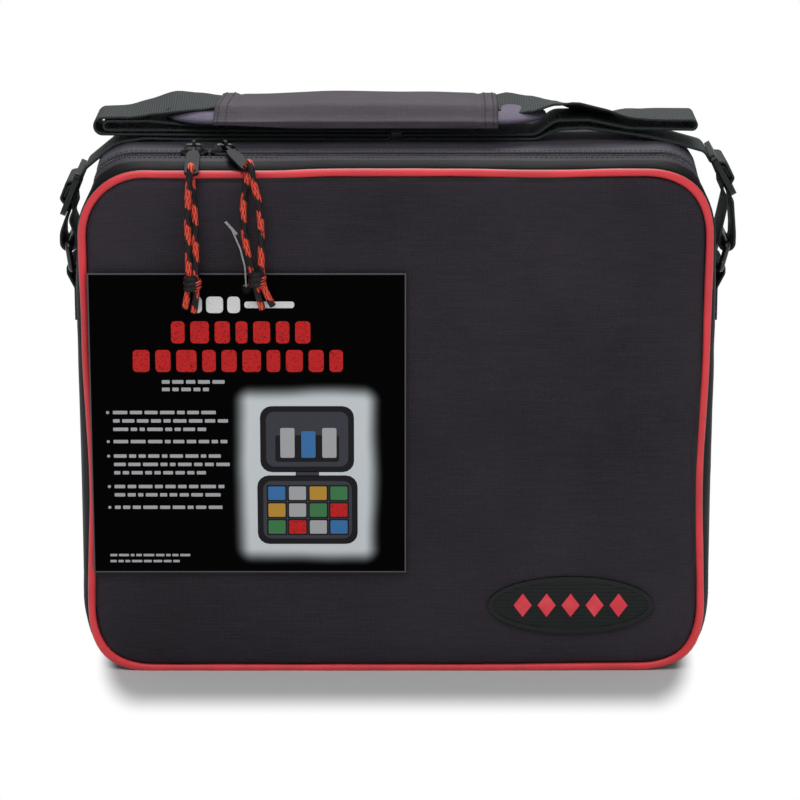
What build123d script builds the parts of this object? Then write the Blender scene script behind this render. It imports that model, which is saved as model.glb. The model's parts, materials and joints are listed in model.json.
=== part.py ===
from build123d import *
from math import cos, hypot, pi, radians, sin, tan
import os

# Driving dimensions of the case, in millimetres. X is its width, Y its depth, Z its height.
# The front faces -Y, the floor is Z = 0, and X = 0, Y = 0 is the middle of the case.
SEAM_HALF_WIDTH = 186.9
SEAM_TOP = 311.4
SEAM_RADIUS = 40.0
GUSSET_FRONT = -58.0
GUSSET_REAR = 58.0
WALL = 5.0
LINING = 1.2
SEWN_GAP = 0.3
FLOOR_CUT = 0.2

# How far the soft walls swell past the seams, at each depth
LID_SWELL = [(-58.0, 0.0), (-50.0, 3.2), (-42.0, 3.8)]
BASE_SWELL = [(-30.0, 3.8), (-8.0, 4.9), (14.0, 5.2), (36.0, 4.6), (50.0, 3.0), (58.0, 0.0)]
SWELL_AT_ZIP = 3.8
SWELL_AT_MIDDLE = 5.2

# Piping and crowned panels
PIPING_RADIUS = 2.4
PIPING_INSET = PIPING_RADIUS
PIPING_FLOOR_GAP = 0.6
PANEL_GAP = 0.1
PANEL_CORNER_REACH = 16.0
PANEL_EDGE = 2.4
PANEL_SOFT_EDGE = 1.8
FRONT_CROWN = 5.0
REAR_CROWN = 3.8
SKIN = 1.5

# Zip
ZIP_Y = -36.0
ZIP_GAP = 12.0
TAPE_THICKNESS = 1.0
TAPE_DEPTH = 2.2
TAPE_TUCK = 4.0
COIL_WIDTH = 2.7
COIL_HEIGHT = 2.0
COIL_SLIT = 1.0
HINGE_HALF_LENGTH = 168.0

# Zip sliders and their tabs
SLIDER_X = {"left": -119.5, "right": -101.5}
SLIDER_LENGTH = 16.5
SLIDER_WIDTH = 11.2
SLIDER_PLATE = 1.5
SLIDER_CLEARANCE = 0.3
SLIDER_CORNER = 3.6
SLIDER_UNDERCUT = 0.6
FLANGE_THICKNESS = 1.2
FLANGE_SETBACK = 4.0
WEB_SETBACK = 4.5
WEB_LENGTH = 4.4
WEB_GAP = 0.15
BAR_RADIUS = 0.9
BAR_HEIGHT = 3.6
BRIDGE_HALF_LENGTH = 5.0
LEG_LENGTH = 2.0
LEG_WIDTH = 2.6
TAB_REACH = 33.0
TAB_THICKNESS = 1.8
TAB_WIDTH = 8.4
TAB_EYE_RADIUS = 3.1
TAB_EYE_HOLE = 1.7
TAB_EYE_WIDTH = 2.0
TAB_NECK_WIDTH = 2.0
TAB_NECK_START = 2.3
TAB_BLADE_START = 8.0
TAB_BLADE_FULL = 14.0
TAB_SHOULDER = 1.6
TAB_END = 1.5
CORD_HOLE = 2.6
TAB_PITCH = {"left": 16.8, "right": 14.0}
TAB_YAW = {"left": 0.0, "right": 27.0}

# Cord pulls
CORD = 4.0
KNOT_HEIGHT = 11.0
KNOT_CORE = 4.2
KNOT_WRAP = 3.2

# Hang tag
TAG_WIDTH = 188.0
TAG_HEIGHT = 185.0
TAG_THICKNESS = 0.8
TAG_BACK = -67.4
TAG_TOP = 250.0
TAG_X = -88.0
TAG_HOLE_RADIUS = 3.0
TAG_HOLE_DROP = 9.5
FILAMENT = 0.5
FASTENER_BAR = 0.8
FASTENER_BAR_LENGTH = 10.0

# Badge on the front panel
BADGE_FROM_SEAM = 81.3
BADGE_Z = 43.5
BADGE_WIDTH = 100.0
BADGE_HEIGHT = 36.0
BADGE_FRONT = -66.7
BADGE_FIELD = 0.8
BADGE_RIM = 3.0
BADGE_RIB = 1.1
BADGE_RIB_PITCH = 2.4
LOZENGE_COUNT = 5
LOZENGE_WIDTH = 11.0
LOZENGE_HEIGHT = 15.0
LOZENGE_PITCH = 14.5

# Pockets inside the lid
POCKET_SHEET = 1.0
POCKET_HALF_WIDTH = 160.0
POCKET_BOTTOM = 40.0
POCKET_TOP = 214.0
POCKET_DEPTH = 5.0
CARD_POCKETS = 4
CARD_POCKET_WIDTH = 74.0
CARD_POCKET_PITCH = 79.0
CARD_POCKET_HEIGHT = 76.0
CARD_POCKET_BOTTOM = 56.0
CARD_POCKET_DEPTH = 4.6

# Compartment insert in the base
INSERT_GAP = 0.35
INSERT_WALL = 4.0
INSERT_FRONT = -28.0
INSERT_REAR = 57.2
INSERT_FLOOR = 2.0
DIVIDER_FRONT = -24.0
DIVIDER_SLOT_GAP = 0.1

# Shoulder strap. "Out" is measured from the side wall and "drop" from the seam at the top.
STRAP_Y = 14.0
STRAP_WIDTH = 38.0
STRAP_THICKNESS = 1.6
STRAP_GAP = 0.3
RING_WIRE = 2.0
RING_WIDTH = 46.0
RING_CORNER = 3.0
RING_LOWER_OUT = 4.2
RING_LOWER_DROP = 73.4
RING_UPPER_OUT = {"left": 6.3, "right": 8.4}
RING_UPPER_DROP = 57.4
RING_LOOP = 4.6
ANCHOR_GAP = 0.1
ANCHOR_DROP = 105.4
BUCKLE_OUT = {"left": 4.2, "right": 4.9}
BUCKLE_DROP = {"left": 26.8, "right": 14.9}
BUCKLE_TILT = {"left": 22.0, "right": 30.0}
BUCKLE_WIDTH = 48.0
BUCKLE_THICKNESS = 3.5
BUCKLE_CORNER = 4.0
BUCKLE_SLOT = 8.6
BUCKLE_SLOT_WIDTH = 40.0
BUCKLE_SLOT_CORNER = 1.5
BUCKLE_MIDDLE_BAR = 5.0
BUCKLE_END_BAR = 2.9
BUCKLE_GAP = 0.2
SEWN_BEND = 1.7
SEWN_TAIL_GAP = 0.65
RISE_PAST_BEND = 1.2
SLOT_SIDE_GAP = 0.9
PAST_BUCKLE = 3.5
SHOULDER_FROM_SEAM = 18.4
SHOULDER_DROP = 1.4
FOLD_FROM_SEAM = 4.4
INNER_FOLD_X = 3.7
PAD_ENDS = (-139.0, 91.0)
PAD_WIDTH = 60.0
PAD_LIFT = 11.1
PAD_THICKNESS = 8.0
PAD_TAPER = 36.0
PAD_ROOM = 0.7
SLEEVE_ENDS = (-107.0, 61.0)
SLEEVE_WIDTH = 64.0
SLEEVE_SHEET = 1.0
SLEEVE_EDGE = 4.6
SLEEVE_SHOULDER = 2.5
SLEEVE_BEND = 12.0
SLEEVE_CORNER = 1.8

WALL_TOP = SEAM_TOP + SWELL_AT_MIDDLE
ZIP_TOP = SEAM_TOP + SWELL_AT_ZIP
LID_RIM = ZIP_Y - ZIP_GAP / 2
BASE_RIM = ZIP_Y + ZIP_GAP / 2
TAPE_TOP = ZIP_TOP - TAPE_DEPTH
PIPING_Y = GUSSET_FRONT - PIPING_RADIUS
PIPING_TOP = SEAM_TOP - PIPING_INSET
BADGE_X = SEAM_HALF_WIDTH - BADGE_FROM_SEAM
SIDE_WALL = SEAM_HALF_WIDTH + SWELL_AT_MIDDLE
RING_LOWER = (SIDE_WALL + RING_LOWER_OUT, SEAM_TOP - RING_LOWER_DROP)
BUCKLE_LENGTH = BUCKLE_MIDDLE_BAR + 2 * (BUCKLE_SLOT + BUCKLE_END_BAR)
FOLD_X = SEAM_HALF_WIDTH - FOLD_FROM_SEAM
PAD_BOTTOM = WALL_TOP + PAD_LIFT
TOP_LAYER = PAD_LIFT + PAD_THICKNESS + PAD_ROOM + STRAP_THICKNESS / 2
SLEEVE_BOTTOM = PAD_BOTTOM - STRAP_GAP - SLEEVE_SHEET
SLEEVE_TOP = WALL_TOP + TOP_LAYER + STRAP_THICKNESS / 2 + STRAP_GAP + SLEEVE_SHEET


def block(x, y, z):
    """A box from its low to its high corner on each axis."""
    size = Box(x[1] - x[0], y[1] - y[0], z[1] - z[0])
    return Pos((x[0] + x[1]) / 2, (y[0] + y[1]) / 2, (z[0] + z[1]) / 2) * size


def rounded(half_width, bottom, top, radius):
    """A rounded rectangle, X across and Z up."""
    return Pos(0, (top + bottom) / 2) * RectangleRounded(2 * half_width, top - bottom, radius)


def outline(swell, inset=0.0, bottom=0.0):
    """The case's outline, swollen at its sides and top but not at its bottom."""
    return rounded(
        SEAM_HALF_WIDTH + swell - inset,
        bottom + inset,
        SEAM_TOP + swell - inset,
        SEAM_RADIUS + swell - inset,
    )


def at_depth(y, sketch):
    return Plane.XZ.offset(-y) * sketch


def through(sections, inset=0.0):
    """A solid through the case's outline at several depths."""
    return loft([at_depth(y, outline(swell, inset)) for y, swell in sections])


def standing(sections):
    """The same from a little below the floor, cut off flat where it stands on the floor."""
    form = loft([at_depth(y, outline(swell, 0.0, -FLOOR_CUT)) for y, swell in sections])
    below = block((-500, 500), (-100, 100), (-10, 0))
    return form - below


def prism(sketch, y0, y1):
    return extrude(at_depth(y1, sketch), y1 - y0)


def ring_band(y0, y1, outer_inset, inner_inset):
    """A flat band that follows the walls all round at the zip."""
    outer = prism(outline(SWELL_AT_ZIP, outer_inset), y0, y1)
    return outer - prism(outline(SWELL_AT_ZIP, inner_inset), y0 - 1, y1 + 1)


def at_hinge(half_length):
    """The stretch of the bottom wall that the hinge strip takes."""
    return block((-half_length, half_length), (-70, 0), (-5, 12))


# Walls and linings
def lid_room():
    return through([(GUSSET_FRONT - 0.9, 0.0), *LID_SWELL[1:]], WALL)


def base_room():
    return through([*BASE_SWELL[:-1], (GUSSET_REAR + 0.9, 0.0)], WALL)


def tape_slot():
    return ring_band(LID_RIM - TAPE_TUCK, BASE_RIM + TAPE_TUCK, TAPE_DEPTH, TAPE_DEPTH + TAPE_THICKNESS)


def lid_gusset():
    return standing(LID_SWELL) - lid_room() - tape_slot()


def base_gusset():
    return standing(BASE_SWELL) - base_room() - tape_slot()


def lid_lining():
    hollow = [(GUSSET_FRONT + 0.3, 0.0), LID_SWELL[1], (LID_RIM + 1, SWELL_AT_ZIP)]
    return lid_room() - through(hollow, WALL + LINING)


def base_lining():
    hollow = [(BASE_RIM - 1, SWELL_AT_ZIP), *BASE_SWELL[1:-1], (GUSSET_REAR - 0.3, 0.0)]
    return base_room() - through(hollow, WALL + LINING)


# Crowned panels with foam behind their skins
def panel_outline():
    edge = PIPING_INSET + PIPING_RADIUS + PANEL_GAP
    bottom = PIPING_FLOOR_GAP + 2 * PIPING_RADIUS + PANEL_GAP
    return rounded(SEAM_HALF_WIDTH - edge, bottom, SEAM_TOP - edge, SEAM_RADIUS - edge)


def crowned(height):
    """The puffed form of a padded panel: a shallow dome with a soft edge inside the piping."""
    across = SEAM_HALF_WIDTH - PANEL_CORNER_REACH
    up = SEAM_TOP / 2 - PANEL_CORNER_REACH
    reach = hypot(across, up)
    drop = height - PANEL_EDGE
    radius = reach**2 / (2 * drop)
    dome = Pos(0, PIPING_Y - height + radius, SEAM_TOP / 2) * Sphere(radius)
    form = prism(panel_outline(), PIPING_Y - 2 * height, PIPING_Y) & dome
    front = form.faces().sort_by(Axis.Y)[0]
    return fillet(front.edges(), PANEL_SOFT_EDGE)


def to_rear(shape):
    return mirror(shape, about=Plane.XZ)


def panel_skin(height):
    form = crowned(height)
    return form - Pos(0, SKIN, 0) * form


def panel_foam(height):
    return Pos(0, SKIN, 0) * crowned(height)


def piping():
    edge = rounded(
        SEAM_HALF_WIDTH - PIPING_INSET,
        PIPING_FLOOR_GAP + PIPING_RADIUS,
        PIPING_TOP,
        SEAM_RADIUS - PIPING_INSET,
    )
    path = at_depth(PIPING_Y, edge).wire()
    start = Plane(origin=path @ 0, z_dir=path % 0)
    return sweep(start * Circle(PIPING_RADIUS), path=path)


# Zip
def zip_tape(y0, y1):
    band = ring_band(y0, y1, TAPE_DEPTH, TAPE_DEPTH + TAPE_THICKNESS)
    return band - at_hinge(HINGE_HALF_LENGTH)


def zip_coil(y0, y1):
    band = ring_band(y0, y1, TAPE_DEPTH - COIL_HEIGHT, TAPE_DEPTH)
    return band - at_hinge(HINGE_HALF_LENGTH)


def hinge_strip():
    return tape_slot() & at_hinge(HINGE_HALF_LENGTH - SEWN_GAP)


def slider_body(side):
    x = SLIDER_X[side]
    head = -1 if side == "right" else 1
    half = SLIDER_LENGTH / 2
    under_top = ZIP_TOP - TAPE_DEPTH + COIL_HEIGHT + SLIDER_CLEARANCE
    top = under_top + SLIDER_PLATE
    over_bottom = TAPE_TOP - TAPE_THICKNESS - SLIDER_CLEARANCE
    bar_z = top + BAR_HEIGHT
    plan = RectangleRounded(SLIDER_LENGTH, SLIDER_WIDTH, SLIDER_CORNER)
    upper = extrude(Pos(x, ZIP_Y, under_top) * plan, SLIDER_PLATE)
    lower_plan = RectangleRounded(SLIDER_LENGTH, SLIDER_WIDTH - 2 * SLIDER_UNDERCUT, SLIDER_CORNER - SLIDER_UNDERCUT)
    lower = extrude(Pos(x, ZIP_Y, over_bottom - SLIDER_PLATE) * lower_plan, SLIDER_PLATE)
    edge = ZIP_Y - SLIDER_WIDTH / 2
    reach = half - FLANGE_SETBACK
    flange = block((x - reach, x + reach), (edge, edge + FLANGE_THICKNESS), (TAPE_TOP + SLIDER_CLEARANCE, under_top))
    web_x = x + head * (half - WEB_SETBACK)
    web_half = COIL_SLIT / 2 - WEB_GAP
    web_ends = (web_x - WEB_LENGTH / 2, web_x + WEB_LENGTH / 2)
    web = block(web_ends, (ZIP_Y - web_half, ZIP_Y + web_half), (over_bottom, under_top))
    bar = Pos(x, ZIP_Y, bar_z) * Rot(0, 90, 0) * Cylinder(BAR_RADIUS, 2 * BRIDGE_HALF_LENGTH)
    legs = [
        block(
            (x + end * BRIDGE_HALF_LENGTH - LEG_LENGTH / 2, x + end * BRIDGE_HALF_LENGTH + LEG_LENGTH / 2),
            (ZIP_Y - LEG_WIDTH / 2, ZIP_Y + LEG_WIDTH / 2),
            (top, bar_z + BAR_RADIUS),
        )
        for end in (-1, 1)
    ]
    return upper + lower + flange + web + bar + legs[0] + legs[1]


def bar_height():
    return ZIP_TOP - TAPE_DEPTH + COIL_HEIGHT + SLIDER_CLEARANCE + SLIDER_PLATE + BAR_HEIGHT


def tab_place(side):
    """Where the tab lies: its eye on the bridge's bar, its length along local -Y."""
    centre = Location((SLIDER_X[side], ZIP_Y, bar_height()))
    return centre * Rot(0, 0, TAB_YAW[side]) * Rot(TAB_PITCH[side], 0, 0)


def pull_tab(side):
    across = Rot(0, 90, 0)
    eye = across * (Cylinder(TAB_EYE_RADIUS, TAB_EYE_WIDTH) - Cylinder(TAB_EYE_HOLE, TAB_EYE_WIDTH + 1))
    neck_side = TAB_NECK_WIDTH / 2
    through_blade = (-TAB_THICKNESS / 2, TAB_THICKNESS / 2)
    neck = block((-neck_side, neck_side), (-TAB_BLADE_START - 1.0, -TAB_NECK_START), through_blade)
    half = TAB_WIDTH / 2
    end = TAB_REACH + CORD_HOLE + TAB_END
    plan = make_face(
        FilletPolyline(
            (-half + TAB_SHOULDER, -TAB_BLADE_START),
            (-half, -TAB_BLADE_FULL),
            (-half, -end),
            (half, -end),
            (half, -TAB_BLADE_FULL),
            (half - TAB_SHOULDER, -TAB_BLADE_START),
            radius=[3.0, half - 0.4, half - 0.4, 3.0, 0.8, 0.8],
            close=True,
        )
    )
    blade = extrude(Pos(0, 0, -TAB_THICKNESS / 2) * plan, TAB_THICKNESS)
    hole = Pos(0, -TAB_REACH, 0) * Cylinder(CORD_HOLE, 4)
    return tab_place(side) * (eye + neck + blade - hole)


def cord_hole(side):
    place = tab_place(side) * Location((0, -TAB_REACH, 0))
    return place.position


# Cord pulls: two strands each, from the tab's hole down to a knot and its tails
def cord_tube(name, points):
    radii = turn_radii(points)
    path = FilletPolyline(*points, radius=radii)
    start = Plane(origin=path @ 0, z_dir=path % 0)
    tube = sweep(start * Circle(CORD / 2), path=path)
    expected = path.length * pi * (CORD / 2) ** 2
    print(name, "length", round(path.length, 1), "radii", [round(r, 1) for r in radii],
          "volume ratio", round(tube.volume / expected, 3))
    return tube


def turn_radii(points):
    """At each inner point, 0.45 of the shorter run over the tangent of half the turn."""
    radii = []
    for a, b, c in zip(points, points[1:], points[2:]):
        before = Vector(*b) - Vector(*a)
        after = Vector(*c) - Vector(*b)
        half_turn = radians(before.get_angle(after)) / 2
        radii.append(0.45 * min(before.length, after.length) / tan(half_turn))
    return radii


# The routes of the strands, each from the tab's hole to the end of its tail
STRANDS = {
    "left_cord_front": [
        (-119.5, -67.5, 311.6),
        (-119.5, -68.2, 315.2),
        (-119.7, -73.6, 314.0),
        (-120.6, -74.6, 306.0),
        (-121.9, -74.4, 289.0),
        (-121.7, -74.0, 266.0),
        (-121.6, -73.9, 247.0),
        (-122.6, -73.4, 237.0),
        (-124.4, -72.6, 230.0),
    ],
    "left_cord_rear": [
        (-119.5, -67.6, 310.4),
        (-119.3, -68.2, 305.0),
        (-118.4, -70.4, 296.0),
        (-117.4, -73.0, 280.0),
        (-117.3, -74.0, 262.0),
        (-117.4, -73.9, 246.0),
        (-117.6, -73.3, 236.0),
        (-119.0, -72.4, 227.5),
    ],
    "right_cord_front": [
        (-86.9, -64.5, 313.5),
        (-86.4, -65.7, 317.0),
        (-84.2, -72.4, 315.4),
        (-83.4, -74.4, 307.0),
        (-79.4, -74.2, 292.0),
        (-78.6, -74.2, 270.0),
        (-79.2, -73.9, 249.0),
        (-76.4, -73.4, 239.0),
        (-72.4, -72.6, 231.5),
    ],
    "right_cord_rear": [
        (-86.9, -64.6, 312.0),
        (-86.9, -66.2, 306.5),
        (-88.8, -69.6, 297.0),
        (-89.6, -72.6, 284.0),
        (-87.6, -74.2, 266.0),
        (-83.6, -73.9, 250.0),
        (-81.4, -73.4, 239.0),
        (-78.6, -72.6, 229.5),
    ],
}
KNOTS = {"left": (-119.5, -73.9, 245.0), "right": (-81.4, -73.9, 247.6)}


def knot(side):
    lump = Cylinder(KNOT_CORE, KNOT_HEIGHT)
    for level in (-1, 0, 1):
        lump += Pos(0, 0, level * 0.9 * CORD) * Torus(KNOT_WRAP, CORD / 2)
    return Pos(*KNOTS[side]) * lump


# Hang tag
def hang_tag():
    centre_z = TAG_TOP - TAG_HEIGHT / 2
    card = Pos(TAG_X, centre_z) * Rectangle(TAG_WIDTH, TAG_HEIGHT)
    card -= Pos(TAG_X, TAG_TOP - TAG_HOLE_DROP) * Circle(TAG_HOLE_RADIUS)
    return prism(card, TAG_BACK - TAG_THICKNESS, TAG_BACK)


def tag_pivot():
    """Where the fastener's thread carries the tag, at the top of its hole."""
    return (TAG_X, TAG_BACK, TAG_TOP - TAG_HOLE_DROP + TAG_HOLE_RADIUS - FILAMENT - 0.2)


def fastener_bar(centre, direction):
    bar = Cylinder(FASTENER_BAR, FASTENER_BAR_LENGTH)
    return Plane(origin=centre, z_dir=direction) * bar


# The fastener's thread, from its front bar down to the tag's hole, as offsets from that hole
FASTENER_THREAD = [(-8.3, -8.2, 36.2), (-3.0, -10.0, 24.2), (-0.4, -9.8, 13.2), (0.0, -5.0, 0.0)]
FASTENER_BENDS = [8.0, 8.0, 3.0]
FASTENER_BAR_LEAN = (0.66, 0, -0.75)


def tag_fastener():
    x, y, z = tag_pivot()
    back = (x, TAG_BACK + FASTENER_BAR + 0.1, z)
    points = [(x + dx, y + dy, z + dz) for dx, dy, dz in FASTENER_THREAD] + [back]
    thread = FilletPolyline(*points, radius=FASTENER_BENDS)
    start = Plane(origin=thread @ 0, z_dir=thread % 0)
    line = sweep(start * Circle(FILAMENT), path=thread)
    return line + fastener_bar(points[0], FASTENER_BAR_LEAN) + fastener_bar(back, (1, 0, 0))


# Badge
def lozenges():
    shapes = []
    for n in range(LOZENGE_COUNT):
        x = (n - (LOZENGE_COUNT - 1) / 2) * LOZENGE_PITCH
        outline_points = [(-LOZENGE_WIDTH / 2, 0), (0, -LOZENGE_HEIGHT / 2),
                          (LOZENGE_WIDTH / 2, 0), (0, LOZENGE_HEIGHT / 2)]
        shapes.append(Pos(x, 0) * make_face(Polyline(*outline_points, close=True)))
    return shapes


def badge_place(sketch):
    return Pos(BADGE_X, BADGE_Z) * sketch


def badge_inlay():
    y = BADGE_FRONT
    return [prism(badge_place(shape), y, y + BADGE_FIELD) for shape in lozenges()]


def badge():
    plate = prism(badge_place(Ellipse(BADGE_WIDTH / 2, BADGE_HEIGHT / 2)), BADGE_FRONT, PIPING_Y)
    field = Ellipse(BADGE_WIDTH / 2 - BADGE_RIM, BADGE_HEIGHT / 2 - BADGE_RIM)
    well = prism(badge_place(field), BADGE_FRONT - 1, BADGE_FRONT + BADGE_FIELD)
    count = int(BADGE_HEIGHT / 2 / BADGE_RIB_PITCH)
    for n in range(-count, count + 1):
        z = n * BADGE_RIB_PITCH
        rib = badge_place(Pos(0, z) * Rectangle(BADGE_WIDTH, BADGE_RIB))
        well -= prism(rib, BADGE_FRONT + BADGE_FIELD / 2, BADGE_FRONT + BADGE_FIELD)
    plate = plate - well - crowned(FRONT_CROWN)
    for inlay in badge_inlay():
        plate -= inlay
    return plate


# Pockets inside the lid
LID_FLOOR = GUSSET_FRONT + 0.3


def patch_pocket(x, z, wall_y, depth):
    """A sheet held off the wall behind it by its sides and bottom, open at the top."""
    outer = block(x, (wall_y, wall_y + depth + POCKET_SHEET), z)
    inner_x = (x[0] + POCKET_SHEET, x[1] - POCKET_SHEET)
    return outer - block(inner_x, (wall_y - 1, wall_y + depth), (z[0] + POCKET_SHEET, z[1] + 1))


def lid_pocket():
    x = (-POCKET_HALF_WIDTH, POCKET_HALF_WIDTH)
    return patch_pocket(x, (POCKET_BOTTOM, POCKET_TOP), LID_FLOOR, POCKET_DEPTH)


def card_pocket(number):
    centre = (number - (CARD_POCKETS - 1) / 2) * CARD_POCKET_PITCH
    x = (centre - CARD_POCKET_WIDTH / 2, centre + CARD_POCKET_WIDTH / 2)
    z = (CARD_POCKET_BOTTOM, CARD_POCKET_BOTTOM + CARD_POCKET_HEIGHT)
    return patch_pocket(x, z, LID_FLOOR + POCKET_DEPTH + POCKET_SHEET, CARD_POCKET_DEPTH)


# Compartment insert: a surround, a floor and dividers that cross in half laps
INSERT_INSET = WALL + LINING + INSERT_GAP
CELL_HALF_WIDTH = SEAM_HALF_WIDTH - INSERT_INSET - INSERT_WALL
CELL_BOTTOM = INSERT_INSET + INSERT_WALL
CELL_TOP = SEAM_TOP - INSERT_INSET - INSERT_WALL
CELL_MIDDLE = (CELL_BOTTOM + CELL_TOP) / 2
DIVIDER_REAR = INSERT_REAR - INSERT_FLOOR
LAP_Y = (DIVIDER_FRONT + DIVIDER_REAR) / 2
CROSS_X = CELL_HALF_WIDTH / 3


def insert_surround():
    outer = prism(outline(0, INSERT_INSET), INSERT_FRONT, DIVIDER_REAR)
    return outer - prism(outline(0, INSERT_INSET + INSERT_WALL), INSERT_FRONT - 1, DIVIDER_REAR + 1)


def insert_floor():
    return prism(outline(0, INSERT_INSET), DIVIDER_REAR, INSERT_REAR)


def lap_width():
    return INSERT_WALL / 2 + DIVIDER_SLOT_GAP


def insert_long_divider():
    half = INSERT_WALL / 2
    x = (-CELL_HALF_WIDTH, CELL_HALF_WIDTH)
    board = block(x, (DIVIDER_FRONT, DIVIDER_REAR), (CELL_MIDDLE - half, CELL_MIDDLE + half))
    for side in (-1, 1):
        slot_x = (side * CROSS_X - lap_width(), side * CROSS_X + lap_width())
        board -= block(slot_x, (DIVIDER_FRONT - 1, LAP_Y), (CELL_MIDDLE - 5, CELL_MIDDLE + 5))
    return board


def insert_cross_divider(side):
    x = side * CROSS_X
    half = INSERT_WALL / 2
    board = block((x - half, x + half), (DIVIDER_FRONT, DIVIDER_REAR), (CELL_BOTTOM, CELL_TOP))
    slot_z = (CELL_MIDDLE - lap_width(), CELL_MIDDLE + lap_width())
    return board - block((x - 5, x + 5), (LAP_Y, DIVIDER_REAR + 1), slot_z)


# Shoulder strap. Its side parts are drawn at the right, and the left one's are mirrored.
def ribbon(points, radii):
    """Webbing that follows a route in the XZ plane, its width along Y."""
    route = FilletPolyline(*[(x, STRAP_Y, z) for x, z in points], radius=radii)
    start = Plane(origin=route @ 0, x_dir=(0, 1, 0), z_dir=route % 0)
    return sweep(start * Rectangle(STRAP_WIDTH, STRAP_THICKNESS), path=route), route.length


def strap_anchor():
    inner = SIDE_WALL + ANCHOR_GAP + STRAP_THICKNESS / 2
    outer = inner + STRAP_THICKNESS + STRAP_GAP
    bar_x, bar_z = RING_LOWER
    reach = RING_WIRE + STRAP_GAP + STRAP_THICKNESS / 2
    bottom = SEAM_TOP - ANCHOR_DROP
    points = [
        (inner, bottom),
        (bar_x - reach, bar_z + reach),
        (bar_x + reach, bar_z + reach),
        (bar_x + reach, bar_z - 3.0),
        (outer, bar_z - 12.0),
        (outer, bottom),
    ]
    return ribbon(points, [reach - 0.02, reach - 0.02, 4.0, 4.0])[0]


def ring_upper(side):
    return (SIDE_WALL + RING_UPPER_OUT[side], SEAM_TOP - RING_UPPER_DROP)


def strap_ring(side):
    lower_x, lower_z = RING_LOWER
    upper_x, upper_z = ring_upper(side)
    dx = upper_x - lower_x
    dz = upper_z - lower_z
    middle = ((upper_x + lower_x) / 2, STRAP_Y, (upper_z + lower_z) / 2)
    frame = Plane(origin=middle, x_dir=(0, 1, 0), z_dir=(dz, 0, -dx))
    loop = (frame * RectangleRounded(RING_WIDTH, hypot(dx, dz), RING_CORNER)).wire()
    start = Plane(origin=loop @ 0, z_dir=loop % 0)
    return sweep(start * Circle(RING_WIRE), path=loop)


def buckle_centre(side):
    return (SIDE_WALL + BUCKLE_OUT[side], SEAM_TOP - BUCKLE_DROP[side])


def strap_buckle(side):
    tilt = radians(BUCKLE_TILT[side])
    x, z = buckle_centre(side)
    plane = Plane(origin=(x, STRAP_Y, z), x_dir=(0, 1, 0), z_dir=(cos(tilt), 0, sin(tilt)))
    frame = RectangleRounded(BUCKLE_WIDTH, BUCKLE_LENGTH, BUCKLE_CORNER)
    slot = RectangleRounded(BUCKLE_SLOT_WIDTH, BUCKLE_SLOT, BUCKLE_SLOT_CORNER)
    for end in (-1, 1):
        frame -= Pos(0, end * (BUCKLE_MIDDLE_BAR + BUCKLE_SLOT) / 2) * slot
    solid = extrude(Pos(0, 0, -BUCKLE_THICKNESS / 2) * frame, BUCKLE_THICKNESS)
    return plane * solid


# The webbing's way at a side, with the bend radius at each point: sewn round the buckle's
# middle bar, down round the ring, up over the middle bar, and on to the case's top
def side_route(side):
    face = BUCKLE_THICKNESS / 2 + BUCKLE_GAP + STRAP_THICKNESS / 2
    over = face + STRAP_THICKNESS + BUCKLE_GAP
    under = over + SEWN_TAIL_GAP
    past_bar = BUCKLE_MIDDLE_BAR / 2 + SEWN_BEND
    rise = past_bar + RISE_PAST_BEND
    dip = BUCKLE_MIDDLE_BAR / 2 + BUCKLE_SLOT - SLOT_SIDE_GAP
    clear = BUCKLE_LENGTH / 2 + PAST_BUCKLE
    ring_x, ring_z = ring_upper(side)
    tilt = radians(BUCKLE_TILT[side])
    centre_x, centre_z = buckle_centre(side)

    def by_buckle(along, out):
        x = centre_x - along * sin(tilt) + out * cos(tilt)
        return (x, centre_z + along * cos(tilt) + out * sin(tilt))

    return [
        (by_buckle(-past_bar + 0.4, face), 0),
        (by_buckle(past_bar, face), 2.0),
        (by_buckle(past_bar, -face), 2.0),
        (by_buckle(-past_bar - 0.4, -face), 3.0),
        (by_buckle(-dip + 0.6, -under), 3.0),
        (by_buckle(-clear + 1.5, -under), 5.0),
        ((ring_x - RING_LOOP, ring_z + 3.5), 4.0),
        ((ring_x - RING_LOOP, ring_z - RING_LOOP), RING_LOOP - 0.05),
        ((ring_x + RING_LOOP, ring_z - RING_LOOP), RING_LOOP - 0.05),
        ((ring_x + RING_LOOP, ring_z + 6.0), 16.0),
        (by_buckle(-clear, -face), 5.0),
        (by_buckle(-dip, -face), 2.0),
        (by_buckle(-rise, over), 2.0),
        (by_buckle(rise, over), 2.0),
        (by_buckle(dip, -face), 2.0),
        (by_buckle(clear, -face), 6.0),
        ((SEAM_HALF_WIDTH - SHOULDER_FROM_SEAM, WALL_TOP - SHOULDER_DROP), 16.0),
    ]


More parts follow.
